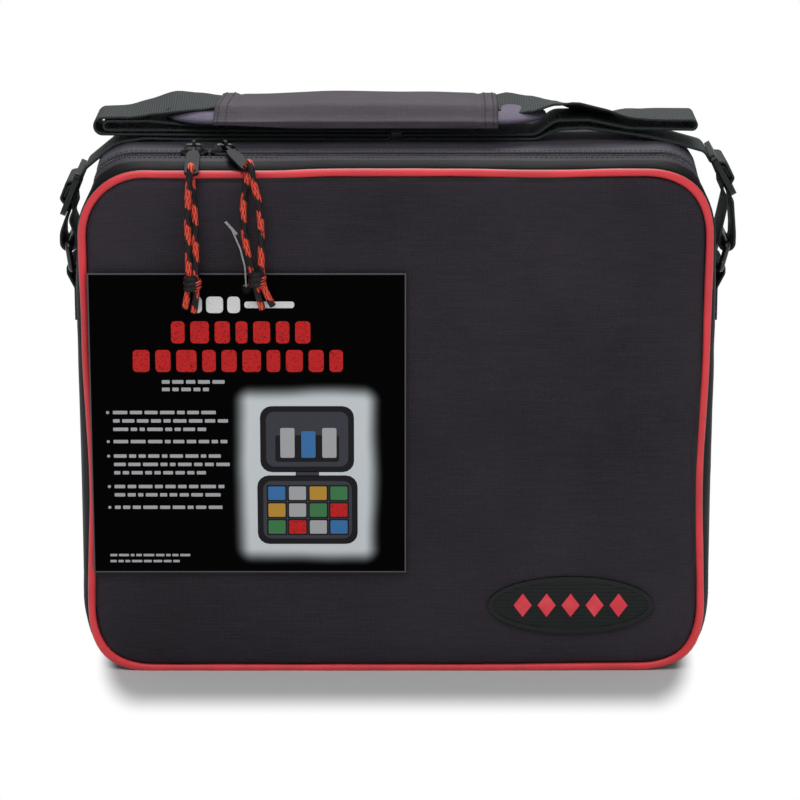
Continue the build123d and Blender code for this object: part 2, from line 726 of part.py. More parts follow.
# The folded webbing on top, as (x, height over the case's top, bend radius), from the left
# shoulder to the right one
TOP_ROUTE = [
    (-FOLD_X + 31.0, 1.6, 30.0),
    (-FOLD_X + 52.0, 1.1, 60.0),
    (-INNER_FOLD_X, 1.1, 1.24),
    (-INNER_FOLD_X, 3.6, 1.24),
    (-FOLD_X + 62.0, 3.7, 60.0),
    (-FOLD_X, 4.2, 4.7),
    (-FOLD_X, 14.0, 4.7),
    (-FOLD_X + 22.0, 14.4, 30.0),
    (PAD_ENDS[0] + 5.5, TOP_LAYER, 30.0),
    (PAD_ENDS[1] + 7.0, TOP_LAYER, 30.0),
    (FOLD_X - 56.0, 14.2, 30.0),
    (FOLD_X - 34.0, 12.8, 30.0),
    (FOLD_X, 12.6, 2.7),
    (FOLD_X, 7.0, 2.7),
    (FOLD_X - 42.0, 7.6, 30.0),
    (PAD_ENDS[1] + 25.0, 12.6, 14.0),
    (PAD_ENDS[1] + 5.0, 12.4, 10.0),
    (PAD_ENDS[1] - 7.0, 3.8, 10.0),
    (INNER_FOLD_X, 3.6, 1.24),
    (INNER_FOLD_X, 1.1, 1.24),
    (PAD_ENDS[1] - 7.0, 1.1, 10.0),
    (PAD_ENDS[1] + 7.0, 7.2, 14.0),
    (PAD_ENDS[1] + 23.0, 8.0, 20.0),
    (FOLD_X - 42.0, 4.4, 30.0),
    (FOLD_X - 30.5, 2.4, 30.0),
]


def strap_webbing():
    left = [((-x, z), r) for (x, z), r in side_route("left")]
    top = [((x, WALL_TOP + h), r) for x, h, r in TOP_ROUTE]
    route = left + top + side_route("right")[::-1]
    points = [p for p, r in route]
    radii = [r for p, r in route][1:-1]
    webbing, length = ribbon(points, radii)
    print("webbing length", round(length))
    return webbing


def pad_plan(inset):
    half = PAD_WIDTH / 2 - inset
    x0 = PAD_ENDS[0] + inset
    x1 = PAD_ENDS[1] - inset
    taper = PAD_TAPER - inset
    lines = [
        Line((x0 + taper, -half), (x1 - taper, -half)),
        EllipticalCenterArc((x1 - taper, 0), taper, half, start_angle=-90, arc_size=180),
        Line((x1 - taper, half), (x0 + taper, half)),
        EllipticalCenterArc((x0 + taper, 0), taper, half, start_angle=90, arc_size=180),
    ]
    return make_face(lines)


# The pad's side, as (share of its thickness, inset): low at its edge, crowned in its middle
PAD_SIDE = [(0.0, 2.0), (0.12, 0.6), (0.3, 0.2), (0.42, 0.6), (0.66, 3.2), (0.86, 6.2), (1.0, 10.0)]


def strap_pad():
    sections = [
        Pos(0, STRAP_Y, PAD_BOTTOM + part * PAD_THICKNESS) * pad_plan(inset)
        for part, inset in PAD_SIDE
    ]
    return loft(sections)


def strap_sleeve():
    half = SLEEVE_WIDTH / 2
    height = SLEEVE_TOP - SLEEVE_BOTTOM
    shoulder = STRAP_WIDTH / 2 + SLEEVE_SHOULDER
    corners = [(-half, 0), (-half, SLEEVE_EDGE), (-shoulder, height), (shoulder, height), (half, SLEEVE_EDGE), (half, 0)]
    section = make_face(Polyline(*corners, close=True))
    section = fillet(section.vertices().filter_by(lambda v: v.Y > SLEEVE_EDGE + 1), SLEEVE_BEND)
    section = fillet(section.vertices().filter_by(lambda v: abs(v.X) > half - 1), SLEEVE_CORNER)
    sheet = section - offset(section, amount=-SLEEVE_SHEET)
    place = Plane(origin=(SLEEVE_ENDS[0], STRAP_Y, SLEEVE_BOTTOM), x_dir=(0, 1, 0), z_dir=(1, 0, 0))
    return extrude(place * sheet, SLEEVE_ENDS[1] - SLEEVE_ENDS[0])


def to_left(shape):
    return mirror(shape, about=Plane.YZ)


def all_parts():
    slit = COIL_SLIT / 2
    lid_edge = ZIP_Y - slit
    base_edge = ZIP_Y + slit
    parts = {
        "base_gusset": base_gusset(),
        "base_lining": base_lining(),
        "rear_panel": to_rear(panel_skin(REAR_CROWN)),
        "rear_foam": to_rear(panel_foam(REAR_CROWN)),
        "rear_piping": to_rear(piping()),
        "base_zip_tape": zip_tape(base_edge, BASE_RIM + TAPE_TUCK),
        "base_zip_coil": zip_coil(base_edge, base_edge + COIL_WIDTH),
        "hinge_strip": hinge_strip(),
        "insert_surround": insert_surround(),
        "insert_floor": insert_floor(),
        "insert_long_divider": insert_long_divider(),
        "insert_cross_divider_left": insert_cross_divider(-1),
        "insert_cross_divider_right": insert_cross_divider(1),
        "lid_gusset": lid_gusset(),
        "lid_lining": lid_lining(),
        "front_panel": panel_skin(FRONT_CROWN),
        "front_foam": panel_foam(FRONT_CROWN),
        "front_piping": piping(),
        "lid_zip_tape": zip_tape(LID_RIM - TAPE_TUCK, lid_edge),
        "lid_zip_coil": zip_coil(lid_edge - COIL_WIDTH, lid_edge),
        "lid_pocket": lid_pocket(),
        "badge": badge(),
        "badge_inlay": Compound(children=badge_inlay()),
        "hang_tag": hang_tag(),
        "tag_fastener": tag_fastener(),
        "strap_webbing": strap_webbing(),
        "strap_pad": strap_pad(),
        "strap_sleeve": strap_sleeve(),
    }
    for number in range(CARD_POCKETS):
        parts[f"card_pocket_{number + 1}"] = card_pocket(number)
    for side in ("left", "right"):
        parts["slider_" + side] = slider_body(side)
        parts["pull_tab_" + side] = pull_tab(side)
        parts["pull_knot_" + side] = knot(side)
        print(side, "cord hole", cord_hole(side))
    for name, points in STRANDS.items():
        parts[name] = cord_tube(name, points)
    parts["strap_anchor_right"] = strap_anchor()
    parts["strap_ring_right"] = strap_ring("right")
    parts["strap_buckle_right"] = strap_buckle("right")
    parts["strap_anchor_left"] = to_left(strap_anchor())
    parts["strap_ring_left"] = to_left(strap_ring("left"))
    parts["strap_buckle_left"] = to_left(strap_buckle("left"))
    return parts


os.makedirs("parts", exist_ok=True)
for name, shape in all_parts().items():
    export_step(shape, f"parts/{name}.step")
print("tag pivot", tag_pivot(), "bar height", bar_height())
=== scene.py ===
import bmesh
import bpy
import json
from functools import cached_property
from math import atan2, ceil, cos, hypot, pi, radians, sin, sqrt, tan, tau
from mathutils import Matrix, Vector, noise
from random import Random

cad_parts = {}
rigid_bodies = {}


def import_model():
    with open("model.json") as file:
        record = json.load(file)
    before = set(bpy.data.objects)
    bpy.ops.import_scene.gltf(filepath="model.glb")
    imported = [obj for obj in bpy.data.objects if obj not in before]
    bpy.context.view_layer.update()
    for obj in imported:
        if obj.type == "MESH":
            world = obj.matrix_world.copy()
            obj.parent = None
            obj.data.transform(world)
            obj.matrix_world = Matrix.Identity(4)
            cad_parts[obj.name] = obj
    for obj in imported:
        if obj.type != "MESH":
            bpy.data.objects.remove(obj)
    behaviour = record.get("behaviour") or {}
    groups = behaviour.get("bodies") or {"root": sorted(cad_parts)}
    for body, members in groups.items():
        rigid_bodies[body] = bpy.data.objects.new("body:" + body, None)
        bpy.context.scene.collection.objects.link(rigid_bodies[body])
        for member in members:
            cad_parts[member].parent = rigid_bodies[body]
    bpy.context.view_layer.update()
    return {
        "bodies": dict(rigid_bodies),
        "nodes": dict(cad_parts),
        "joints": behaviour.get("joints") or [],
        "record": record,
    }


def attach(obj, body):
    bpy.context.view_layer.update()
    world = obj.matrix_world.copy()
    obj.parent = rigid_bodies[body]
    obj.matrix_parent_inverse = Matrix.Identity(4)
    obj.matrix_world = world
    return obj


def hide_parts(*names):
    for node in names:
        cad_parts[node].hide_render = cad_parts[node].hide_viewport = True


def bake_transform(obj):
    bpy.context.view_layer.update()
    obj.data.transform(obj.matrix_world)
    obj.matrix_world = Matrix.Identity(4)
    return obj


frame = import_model()
MM = 0.001

# Sizes of the case that its new pieces share with the CAD model, in metres
SEAM_HALF = 186.9 * MM
SEAM_TOP = 311.4 * MM
SEAM_RADIUS = 40.0 * MM
CORNER_X = SEAM_HALF - SEAM_RADIUS
CORNER_Z = SEAM_TOP - SEAM_RADIUS
PIPING = 2.4 * MM
PIPING_Y = 60.4 * MM
ZIP_Y = -36.0 * MM
ZIP_SWELL = 3.8 * MM
WALL = 5.0 * MM
WALL_CLOTH = 3.8 * MM
LINING = 1.2 * MM
WALL_TOP = 316.6 * MM
STRAP_Y = 14.0 * MM
STRAP_WIDTH = 38.0 * MM
STRAP_THICKNESS = 1.6 * MM
CORD = 4.0 * MM
PAD_BOTTOM = 327.8 * MM
SLEEVE_BOTTOM = 326.4 * MM


# ---- Shader maths ----
def tone(red, green, blue):
    """A colour as it is seen, 0 to 255, as the shader's linear one."""
    parts = [c / 255 for c in (red, green, blue)]
    return [c / 12.92 if c <= 0.04045 else ((c + 0.055) / 1.055) ** 2.4 for c in parts] + [1.0]


def maths(operation, swapped=False):
    """A method of Value that adds one Math node."""
    def apply(self, *others):
        row = (*others, self) if swapped else (self, *others)
        return self.finish.node("Math", enumerate(row), operation=operation)
    return apply


class Value:
    """A number in a finish, on which Python's operators add Math nodes."""

    __add__ = __radd__ = maths("ADD")
    __mul__ = __rmul__ = maths("MULTIPLY")
    __sub__ = maths("SUBTRACT")
    __rsub__ = maths("SUBTRACT", swapped=True)
    least = maths("MINIMUM")
    most = maths("MAXIMUM")
    sine = maths("SINE")
    size = maths("ABSOLUTE")
    power = maths("POWER")
    root = maths("SQRT")

    def __init__(self, finish, socket):
        self.finish = finish
        self.socket = socket

    def soft_step(self, low, high):
        """Rises smoothly from 0 at low to 1 at high."""
        inputs = {"Value": self, "From Min": low, "From Max": high}
        return self.finish.node("MapRange", inputs, interpolation_type="SMOOTHSTEP")


class Finish:
    """The nodes of a material, or of the world, under construction."""

    def __init__(self, owner, output="OutputMaterial"):
        self.owner = bpy.data.materials.new(owner) if isinstance(owner, str) else owner
        self.owner.use_nodes = True
        self.tree = self.owner.node_tree
        self.tree.nodes.clear()
        self.output = self.tree.nodes.new("ShaderNode" + output)

    def node(self, kind, inputs=(), output=0, **settings):
        made = self.tree.nodes.new("ShaderNode" + kind)
        for name, value in settings.items():
            setattr(made, name, value)
        for key, value in dict(inputs).items():
            if isinstance(value, Value):
                self.tree.links.new(value.socket, made.inputs[key])
            else:
                made.inputs[key].default_value = value
        return Value(self, made.outputs[output])

    @cached_property
    def place(self):
        return self.node("TexCoord", output="Object")

    @cached_property
    def cloth(self):
        """U and V of the piece's cloth map."""
        return self.parts(self.node("UVMap", uv_map="cloth"))[:2]

    def parts(self, vector):
        first = self.node("SeparateXYZ", {0: vector})
        outputs = first.socket.node.outputs
        return first, Value(self, outputs[1]), Value(self, outputs[2])

    def noise(self, scale, detail=2.0, roughness=0.5, vector=None):
        inputs = {"Vector": vector or self.place, "Scale": scale, "Detail": detail, "Roughness": roughness}
        return self.node("TexNoise", inputs)

    def mix(self, factor, first, second):
        inputs = {0: factor, 6: first, 7: second}
        return self.node("Mix", inputs, 2, data_type="RGBA", blend_type="MIX")

    def bump(self, height, distance, edge=0.0):
        """Relief, over hard edges that look rounded to a radius."""
        inputs = {"Height": height, "Distance": distance, "Strength": 1.0}
        if edge:
            inputs["Normal"] = self.node("Bevel", {"Radius": edge}, samples=4)
        return self.node("Bump", inputs)

    def surface(self, colour, roughness, normal=None, specular=0.5, **others):
        """Ends with a Principled shader. The others name its sockets, with _ for a space."""
        sockets = {"Base Color": colour, "Roughness": roughness, "Specular IOR Level": specular}
        if normal:
            sockets["Normal"] = normal
        for name, value in others.items():
            sockets[name.replace("_", " ").title()] = value
        return self.end(self.node("BsdfPrincipled", sockets))

    def end(self, shader):
        self.tree.links.new(shader.socket, self.output.inputs["Surface"])
        return self.owner

    def rays(self, *kinds):
        """1 for light paths of the named kinds, and 0 for the rest."""
        outputs = self.node("LightPath").socket.node.outputs
        first, *rest = [Value(self, outputs[f"Is {kind} Ray"]) for kind in kinds]
        for other in rest:
            first = first.most(other)
        return first


# ---- Finishes ----
def crossed(left, right):
    """The height of threads that pass over and under each other, 0 to 1, and where the first is on top."""
    first, second = left.sine(), right.sine()
    over = first * second * 0.5 + 0.5
    return (first.size() * over).most(second.size() * (1 - over)), over


def woven(name, dark, light, pitch, rough, sheen=0.06, relief=0.12 * MM, seam=0.0):
    """Woven nylon: threads, a slow change of tone and a little lint, with painted shade in the gaps between
    threads, and painted shade in the crease by the piping past a depth.
    """
    finish = Finish(name)
    u, v = finish.cloth
    threads, _ = crossed(u * (pi / pitch), v * (pi / pitch))
    slow = finish.noise(9.0, 3.0)
    fine = finish.noise(900.0)
    drawn = finish.node("Mapping", {"Vector": finish.place, "Scale": (60, 700, 700)})
    slub = finish.noise(1.0, vector=drawn)
    # The threads' height also darkens the colour in the gaps between them: painted shade.
    shade = threads * 0.35 + slow * 0.35 + fine * 0.25 + slub * 0.2
    colour = finish.mix(shade.soft_step(0.2, 0.95), dark, light)
    # Painted shade: past this depth the cloth goes near black, in the crease beside the piping.
    if seam:
        depth = finish.parts(finish.place)[1].size()
        colour = finish.mix(depth.soft_step(seam - 0.7 * MM, seam), colour, tone(5, 4, 6))
    return finish.surface(
        colour, 1 - (1 - rough) * (0.7 + slow * 0.6),
        finish.bump(threads * 0.8 + fine * 0.3 + slub * 0.25, relief), 0.14,
        sheen_weight=sheen, sheen_roughness=0.45, sheen_tint=tone(150, 150, 160))


def ribbed_webbing(name, dark, light):
    """Strap webbing: fine ribs across, a coarser twill and worn selvedges."""
    finish = Finish(name)
    u, v = finish.cloth
    ribs = (v * (pi / (1.5 * MM))).sine().size()
    cords = (u * (pi / (2.1 * MM)) + v * (pi / (9.0 * MM))).sine().size()
    selvedge = (u * (1 / STRAP_WIDTH) - 0.5).size().soft_step(0.44, 0.5)
    wear = finish.noise(160.0, 3.0)
    fine = finish.noise(1400.0, 1.0)
    shade = ribs * 0.4 + cords * 0.25 + wear * 0.35 + selvedge * 0.35
    return finish.surface(
        finish.mix(shade.soft_step(0.25, 1.15), dark, light), 0.62 + wear * 0.15,
        finish.bump(ribs * 0.8 + cords * 0.4 + fine * 0.2, 0.3 * MM), 0.25,
        sheen_weight=0.05, sheen_roughness=0.4, sheen_tint=tone(150, 160, 155))


def zip_cloth(name):
    """Zip tape: a fine herringbone."""
    finish = Finish(name)
    u, v = finish.cloth
    slant = (v * (tau / (2.4 * MM))).sine() * 0.25
    ribs = (u * (pi / (0.8 * MM)) + slant * 3.0).sine().size()
    fine = finish.noise(1300.0, 1.0)
    colour = finish.mix(ribs * 0.6 + fine * 0.3, tone(20, 19, 23), tone(64, 61, 69))
    return finish.surface(colour, 0.75, finish.bump(ribs + fine * 0.3, 0.15 * MM), 0.15)


def piping_vinyl(name, side_shade, bright):
    """Coated piping: a fine pressed grain, a painted highlight down its front and painted shade down its
    sides by the seams.
    """
    finish = Finish(name)
    grain = finish.noise(1500.0)
    slow = finish.noise(25.0, 3.0)
    # Painted highlight and shade: bright where the piping faces straight out front or back, darker down its
    # sides.
    painted_lit_front = finish.parts(finish.place)[1].size().soft_step(60.5 * MM, 62.1 * MM)
    return finish.surface(
        finish.mix((slow.soft_step(0.25, 0.75) * 0.3 + 0.7) * painted_lit_front, side_shade, bright), 0.42 + slow * 0.16,
        finish.bump(grain * 0.5 + slow * 2.0, 0.12 * MM), 0.45,
        coat_weight=0.12, coat_roughness=0.35, sheen_weight=0.1)


def moulded(name, colour, worn, rough, grain_size, relief, edge=0.3 * MM, shine=0.5):
    """Moulded plastic or rubber with a fine spark-eroded grain."""
    finish = Finish(name)
    grain = finish.noise(grain_size)
    slow = finish.noise(60.0, 3.0)
    tint = finish.mix(slow.soft_step(0.35, 0.8), colour, worn)
    return finish.surface(tint, rough + slow * 0.12, finish.bump(grain, relief, edge), shine)


def lacquered(name, colour, worn):
    """Black lacquer on die-cast metal, rubbed thin in places."""
    finish = Finish(name)
    rub = finish.noise(420.0, 4.0, 0.65)
    slow = finish.noise(90.0)
    bare = (rub * 0.7 + slow * 0.4).soft_step(0.66, 0.78)
    return finish.surface(
        finish.mix(bare, colour, worn), 0.24 + slow * 0.14 + bare * 0.15,
        finish.bump(rub, 0.03 * MM, 0.35 * MM),
        metallic=0.35 + bare * 0.5, coat_weight=0.5, coat_roughness=0.12)


def braid(name):
    """Braided cord: red for a while and black for a while, with painted shade in the grooves between its
    strands.
    """
    finish = Finish(name)
    u, v = finish.cloth
    strands = 6
    pitch = 11.0 * MM
    colour_run = 21.0 * MM
    lean = v * (strands / (4 * pitch))
    height, over = crossed((u * strands + lean) * pi, (u * strands - lean) * pi)
    yarns = finish.noise(2200.0, 1.0)
    turn = v * (tau / colour_run) + (u * tau).sine() * 0.8 + finish.noise(200.0) * 1.6
    bold = (turn.sine() + (over - 0.5) * 0.9 + 0.1).soft_step(-0.15, 0.2)
    # Painted shade: the red goes dark where the strands' height is low, in the grooves between them.
    red = finish.mix((height + yarns * 0.3).soft_step(0.2, 0.9), tone(96, 8, 6), tone(255, 92, 66))
    dark = finish.mix(yarns * 0.8, tone(3, 2, 3), tone(34, 27, 28))
    relief = finish.bump(height + yarns * 0.25, 0.4 * MM)
    return finish.surface(finish.mix(bold, dark, red), 0.62, relief, 0.35)


def printed_card(name):
    """Black card with a satin coat, grey at its cut edge, and a white glow printed round its picture."""
    finish = Finish(name)
    x, _, z = finish.parts(finish.place)
    from_side = 94.0 * MM - (x + 88.0 * MM).size()
    from_end = 92.5 * MM - (z - 157.5 * MM).size()
    rim = 1 - from_side.least(from_end).soft_step(0.5 * MM, 1.0 * MM)
    slow = finish.noise(14.0)
    fibre = finish.noise(700.0, 3.0)
    waver = (finish.noise(22.0, 1.0) - 0.5) * (5.0 * MM)
    past_x = ((x + 53.0 * MM).size() - 33.0 * MM).most(0.0)
    past_z = ((z - 126.0 * MM).size() - 45.0 * MM).most(0.0)
    gap = (past_x * past_x + past_z * past_z).root() + waver
    glow = (1 - gap.soft_step(1.0 * MM, 13.0 * MM)).power(1.8)
    lit = finish.mix(glow, finish.mix(slow, tone(0, 0, 0), tone(3, 3, 3)), tone(214, 220, 222))
    return finish.surface(finish.mix(rim, lit, tone(92, 92, 96)), 0.42 + slow * 0.12,
                          finish.bump(fibre, 0.02 * MM), 0.02)


def ink(name, colour, patchy=0.0):
    """Print on the card, a little worn where it is patchy."""
    finish = Finish(name)
    thin = finish.noise(900.0, 3.0, 0.7).soft_step(0.62 - patchy * 0.12, 0.68) * patchy
    tint = finish.mix(thin, colour, tone(22, 18, 20))
    return finish.surface(tint, 0.42 + finish.noise(60.0) * 0.12, specular=0.1)


def clear_nylon(name):
    finish = Finish(name)
    slow = finish.noise(300.0)
    tint = finish.mix(slow, tone(150, 152, 150), tone(205, 206, 204))
    return finish.surface(tint, 0.22 + slow * 0.15, transmission_weight=0.35)


FINISHES = {
    "panel": woven("charcoal_nylon", tone(23, 20, 24), tone(61, 55, 63), 0.9 * MM, 0.64, 0.12),
    "wall": woven("wall_nylon", tone(30, 28, 34), tone(84, 80, 90), 1.0 * MM, 0.6, seam=55.4 * MM),
    # The lid's part of the wall is a darker copy of the base's nylon: painted shade down towards the crease
    # by the piping.
    "lid_cloth": woven("lid_wall_nylon_shaded", tone(22, 20, 25), tone(62, 58, 67), 1.0 * MM, 0.6, seam=51.0 * MM),
    "lining": woven("lining_cloth", tone(36, 35, 39), tone(80, 78, 85), 0.7 * MM, 0.75),
    "board": woven("board_cloth", tone(48, 47, 52), tone(98, 96, 104), 0.8 * MM, 0.72),
    "pocket": woven("pocket_mesh", tone(20, 20, 22), tone(60, 59, 64), 1.8 * MM, 0.7, relief=0.25 * MM),
    "sleeve": woven("sleeve_nylon", tone(41, 37, 41), tone(86, 78, 86), 0.9 * MM, 0.62, 0.12),
    "pad": woven("pad_nylon", tone(66, 60, 74), tone(122, 114, 134), 0.9 * MM, 0.6, 0.1),
    "webbing": ribbed_webbing("strap_webbing_nylon", tone(5, 6, 6), tone(50, 55, 54)),
    "tape": zip_cloth("zip_tape_cloth"),
    "coil": moulded("zip_coil_nylon", tone(9, 9, 10), tone(30, 30, 33), 0.32, 900.0, 0.02 * MM, 0.15 * MM),
    "red_piping": piping_vinyl("red_piping_vinyl", tone(84, 5, 12), tone(242, 60, 68)),
    "black_piping": piping_vinyl("black_piping_vinyl", tone(10, 10, 12), tone(28, 28, 32)),
    "cord": braid("red_and_black_braid"),
    "card": printed_card("printed_card"),
    "clear": clear_nylon("clear_nylon_thread"),
    "rubber": moulded("badge_rubber", tone(3, 7, 8), tone(14, 22, 21), 0.4, 700.0, 0.03 * MM, 0.3 * MM, 0.3),
    "red_rubber": moulded("badge_red_rubber", tone(232, 52, 68), tone(252, 88, 98), 0.42, 700.0, 0.03 * MM),
    "metal": lacquered("black_lacquer", tone(8, 9, 10), tone(170, 172, 170)),
    "tab": moulded("pull_tab_lacquer", tone(7, 9, 11), tone(24, 28, 31), 0.45, 800.0, 0.02 * MM, 0.5 * MM,
                   0.12),
    "plastic": moulded("buckle_plastic", tone(9, 12, 12), tone(30, 35, 35), 0.26, 900.0, 0.02 * MM, 0.6 * MM,
                       0.35),
    "foam": moulded("sheet_foam", tone(30, 30, 32), tone(44, 44, 47), 0.9, 800.0, 0.2 * MM),
    "thread": moulded("stitch_thread", tone(20, 20, 22), tone(58, 58, 62), 0.5, 1500.0, 0.03 * MM),
}


# ---- Making pieces ----
def added(name, data):
    made = bpy.data.objects.new(name, data)
    bpy.context.scene.collection.objects.link(made)
    return made


def as_mesh(bm, name):
    mesh = bpy.data.meshes.new(name)
    bm.to_mesh(mesh)
    bm.free()
    return mesh


def piece(name, bm, body, finish, replaces=(), cloth=0.0, offset=-1):
    """Turns a bmesh into a piece that rides on a body, and gives a sheet its cloth's thickness."""
    mesh = as_mesh(bm, name)
    made = added(name, mesh)
    for material in finish if isinstance(finish, list) else [FINISHES[finish]]:
        mesh.materials.append(material)
    for polygon in mesh.polygons:
        polygon.use_smooth = True
    if body:
        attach(made, body)
    if replaces:
        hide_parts(*replaces)
    if cloth:
        modifier(made, "SOLIDIFY", thickness=cloth, offset=offset)
    return made


def modifier(made, kind, **settings):
    new = made.modifiers.new(kind.lower(), kind)
    for name, value in settings.items():
        setattr(new, name, value)


def cloth_map(bm):
    return bm.loops.layers.uv.get("cloth") or bm.loops.layers.uv.new("cloth")


def lay_cloth(bm):
    """Maps every face flat from the side that it faces, in metres."""
    layer = cloth_map(bm)
    for face in bm.faces:
        flat = [abs(c) for c in face.normal]
        away = flat.index(max(flat))
        u, v = [axis for axis in (0, 1, 2) if axis != away]
        for corner in face.loops:
            corner[layer].uv = (corner.vert.co[u], corner.vert.co[v])


def round_off(bm, geom, radius, segments, affect="VERTICES"):
    bmesh.ops.bevel(bm, geom=geom, offset=radius, offset_type="OFFSET", segments=segments, profile=0.5,
                    affect=affect, material=-1)


def rounded_face(bm, place, radius, segments):
    """A square of side 1 in the XY plane, put in place, and its corners then rounded."""
    before = set(bm.faces)
    made = bmesh.ops.create_grid(bm, x_segments=1, y_segments=1, size=0.5)["verts"]
    bmesh.ops.transform(bm, matrix=place, verts=made)
    round_off(bm, made, radius, segments)
    return (set(bm.faces) - before).pop()


def cap(bm, rings):
    """Closes each ring of edges with a face."""
    for ring in rings:
        bmesh.ops.contextual_create(bm, geom=ring_edges(ring))
    bmesh.ops.recalc_face_normals(bm, faces=bm.faces)


def frame_at(point, *axes):
    """The matrix that carries X, Y and Z to these directions at a point."""
    return Matrix.Translation(point) @ Matrix(axes).transposed().to_4x4()


def ring_edges(ring):
    """The edges of a closed, ordered ring of points."""
    pairs = zip(ring, ring[1:] + ring[:1])
    return [next(e for e in first.link_edges if e.other_vert(first) == second) for first, second in pairs]


def in_order(vert):
    """The points of a lone closed loop of edges, in order from one of them."""
    ring = [vert]
    edge = vert.link_edges[0]
    while edge.other_vert(vert) != ring[0]:
        vert = edge.other_vert(vert)
        ring.append(vert)
        edge = next(e for e in vert.link_edges if e != edge)
    return ring


def outline_ring(bm, shape, corner_steps=14, across=36, up=30):
    """A closed ring of points in the XZ plane on a rounded rectangle: half width, bottom, top, radius."""
    half, bottom, top, radius = shape
    place = Matrix.Translation((0, 0, (top + bottom) / 2)) @ Matrix.Rotation(radians(90), 4, "X")
    face = rounded_face(bm, place @ Matrix.Diagonal((2 * half, top - bottom, 1, 1)), radius, corner_steps)
    edges = list(face.edges)
    bmesh.ops.delete(bm, geom=[face], context="FACES_ONLY")
    for length, cuts in ((2 * (half - radius), across), (top - bottom - 2 * radius, up)):
        runs = [e for e in edges if abs(e.calc_length() - length) < 1e-5]
        if cuts:
            bmesh.ops.subdivide_edges(bm, edges=runs, cuts=cuts)
    return in_order(edges[0].verts[0])


def refit(co, old, new, y):
    """Carries a point of one rounded rectangle to the same place on another at a depth."""
    half, bottom, top, radius = old
    new_half, new_bottom, new_top, new_radius = new
    straight = half - radius
    upright = (top - bottom) / 2 - radius
    middle = (top + bottom) / 2
    x = min(max(co.x, -straight), straight)
    z = min(max(co.z - middle, -upright), upright)
    new_upright = (new_top - new_bottom) / 2 - new_radius
    return Vector((
        x / straight * (new_half - new_radius) + (co.x - x) / radius * new_radius,
        y,
        (new_top + new_bottom) / 2 + z / upright * new_upright + (co.z - middle - z) / radius * new_radius,
    ))


def loft(bm, ring, places, closed=False):
    """Extrudes a ring of points through a row of places, each a function of a point's first position,
    and maps the cloth: round the ring and along the row, in metres."""
    start = [vert.co.copy() for vert in ring]
    rows = []
    row = ring
    for place in places:
        if rows:
            made = bmesh.ops.extrude_edge_only(bm, edges=ring_edges(row))["geom"]
            new = {item for item in made if isinstance(item, bmesh.types.BMVert)}
            row = [next(e.other_vert(v) for e in v.link_edges if e.other_vert(v) in new) for v in row]
        for vert, co in zip(row, start):
            vert.co = place(co)
        rows.append(row)
    map_rows(bm, rows)
    if closed:
        bmesh.ops.remove_doubles(bm, verts=rows[0] + rows[-1], dist=1e-6)
    bmesh.ops.recalc_face_normals(bm, faces=bm.faces)
    if not closed:
        face_out(bm, rows[len(rows) // 2])
    return rows


def face_out(bm, ring):
    """Turns an open tube's faces outwards, judged beside one of its rings."""
    middle = sum((vert.co for vert in ring), Vector()) / len(ring)
    bm.normal_update()
    face = ring[0].link_faces[0]
    if face.normal.dot(face.calc_center_median() - middle) < 0:
        bmesh.ops.reverse_faces(bm, faces=bm.faces)


def map_rows(bm, rows, turns=False):
    """Maps the cloth on rings of points: U round the ring, in metres or in turns, and V along the rows."""
    layer = cloth_map(bm)
    around = [0.0]
    longest = max(rows, key=lambda row: sum((b.co - a.co).length for a, b in zip(row, row[1:])))
    for first, second in zip(longest, longest[1:] + longest[:1]):
        around.append(around[-1] + (second.co - first.co).length)
    total = around[-1]
    along = 0.0
    places = {}
    for number, row in enumerate(rows):
        if number:
            gaps = [(a.co - b.co).length for a, b in zip(rows[number - 1], row)]
            along += sum(gaps) / len(gaps)
        for place, vert in zip(around, row):
            places[vert] = (place, along)
    for face in bm.faces:
        if not all(corner.vert in places for corner in face.loops):
            continue
        spread = [places[corner.vert][0] for corner in face.loops]
        wraps = max(spread) - min(spread) > total / 2
        for corner in face.loops:
            u, v = places[corner.vert]
            if wraps and u < total / 2:
                u += total
            corner[layer].uv = (u / total if turns else u, v)


def wall_shape(swell, inset=0.0):
    """The case's outline, which swells at the sides and top but not at the bottom."""
    return (SEAM_HALF + swell - inset, inset, SEAM_TOP + swell - inset, SEAM_RADIUS + swell - inset)


def outline_loft(bm, rows, closed=False):
    """Lofts through rounded rectangles: each row a depth and a shape."""
    first = rows[0][1]
    places = [lambda co, y=y, shape=shape: refit(co, first, shape, y) for y, shape in rows]
    return loft(bm, outline_ring(bm, first), places, closed)


def smooth_step(low, high, value):
    part = min(max((value - low) / (high - low), 0.0), 1.0)
    return part * part * (3 - 2 * part)


def ahead_of_zip(co):
    """1 at the front seam, and smoothly down to 0 before the zip."""
    return 1 - smooth_step(-0.058, -0.044, co.y)


def slump(co):
    """How far the sewn edge strays: it sags on the left, waists low down and settles on the floor."""
    at_front = ahead_of_zip(co)
    top = smooth_step(0.27, 0.30, co.z)
    left = 1 - smooth_step(-0.075, -0.035, co.x)
    ends = smooth_step(-0.186, -0.13, co.x)
    dip = -0.9 * MM * (1 - smooth_step(0.0, 0.05, abs(co.x - 0.085)))
    low = -1.5 * MM * (1 - smooth_step(0.0, 0.06, co.z)) * (1 - 0.75 * smooth_step(0.04, 0.15, co.x))
    down = top * (dip - 1.3 * MM * left * ends) + low
    side = smooth_step(0.15, 0.18, abs(co.x)) * (1 if co.x > 0 else -1)
    waist = -2.6 * MM * (1 - smooth_step(0.0, 0.085, abs(co.z - 0.120)))
    flare = 0.5 * MM * (1 - smooth_step(0.0, 0.05, abs(co.z - 0.262)))
    return Vector((side * (waist + flare) * (0.1 + 0.9 * at_front), 0, down * at_front))


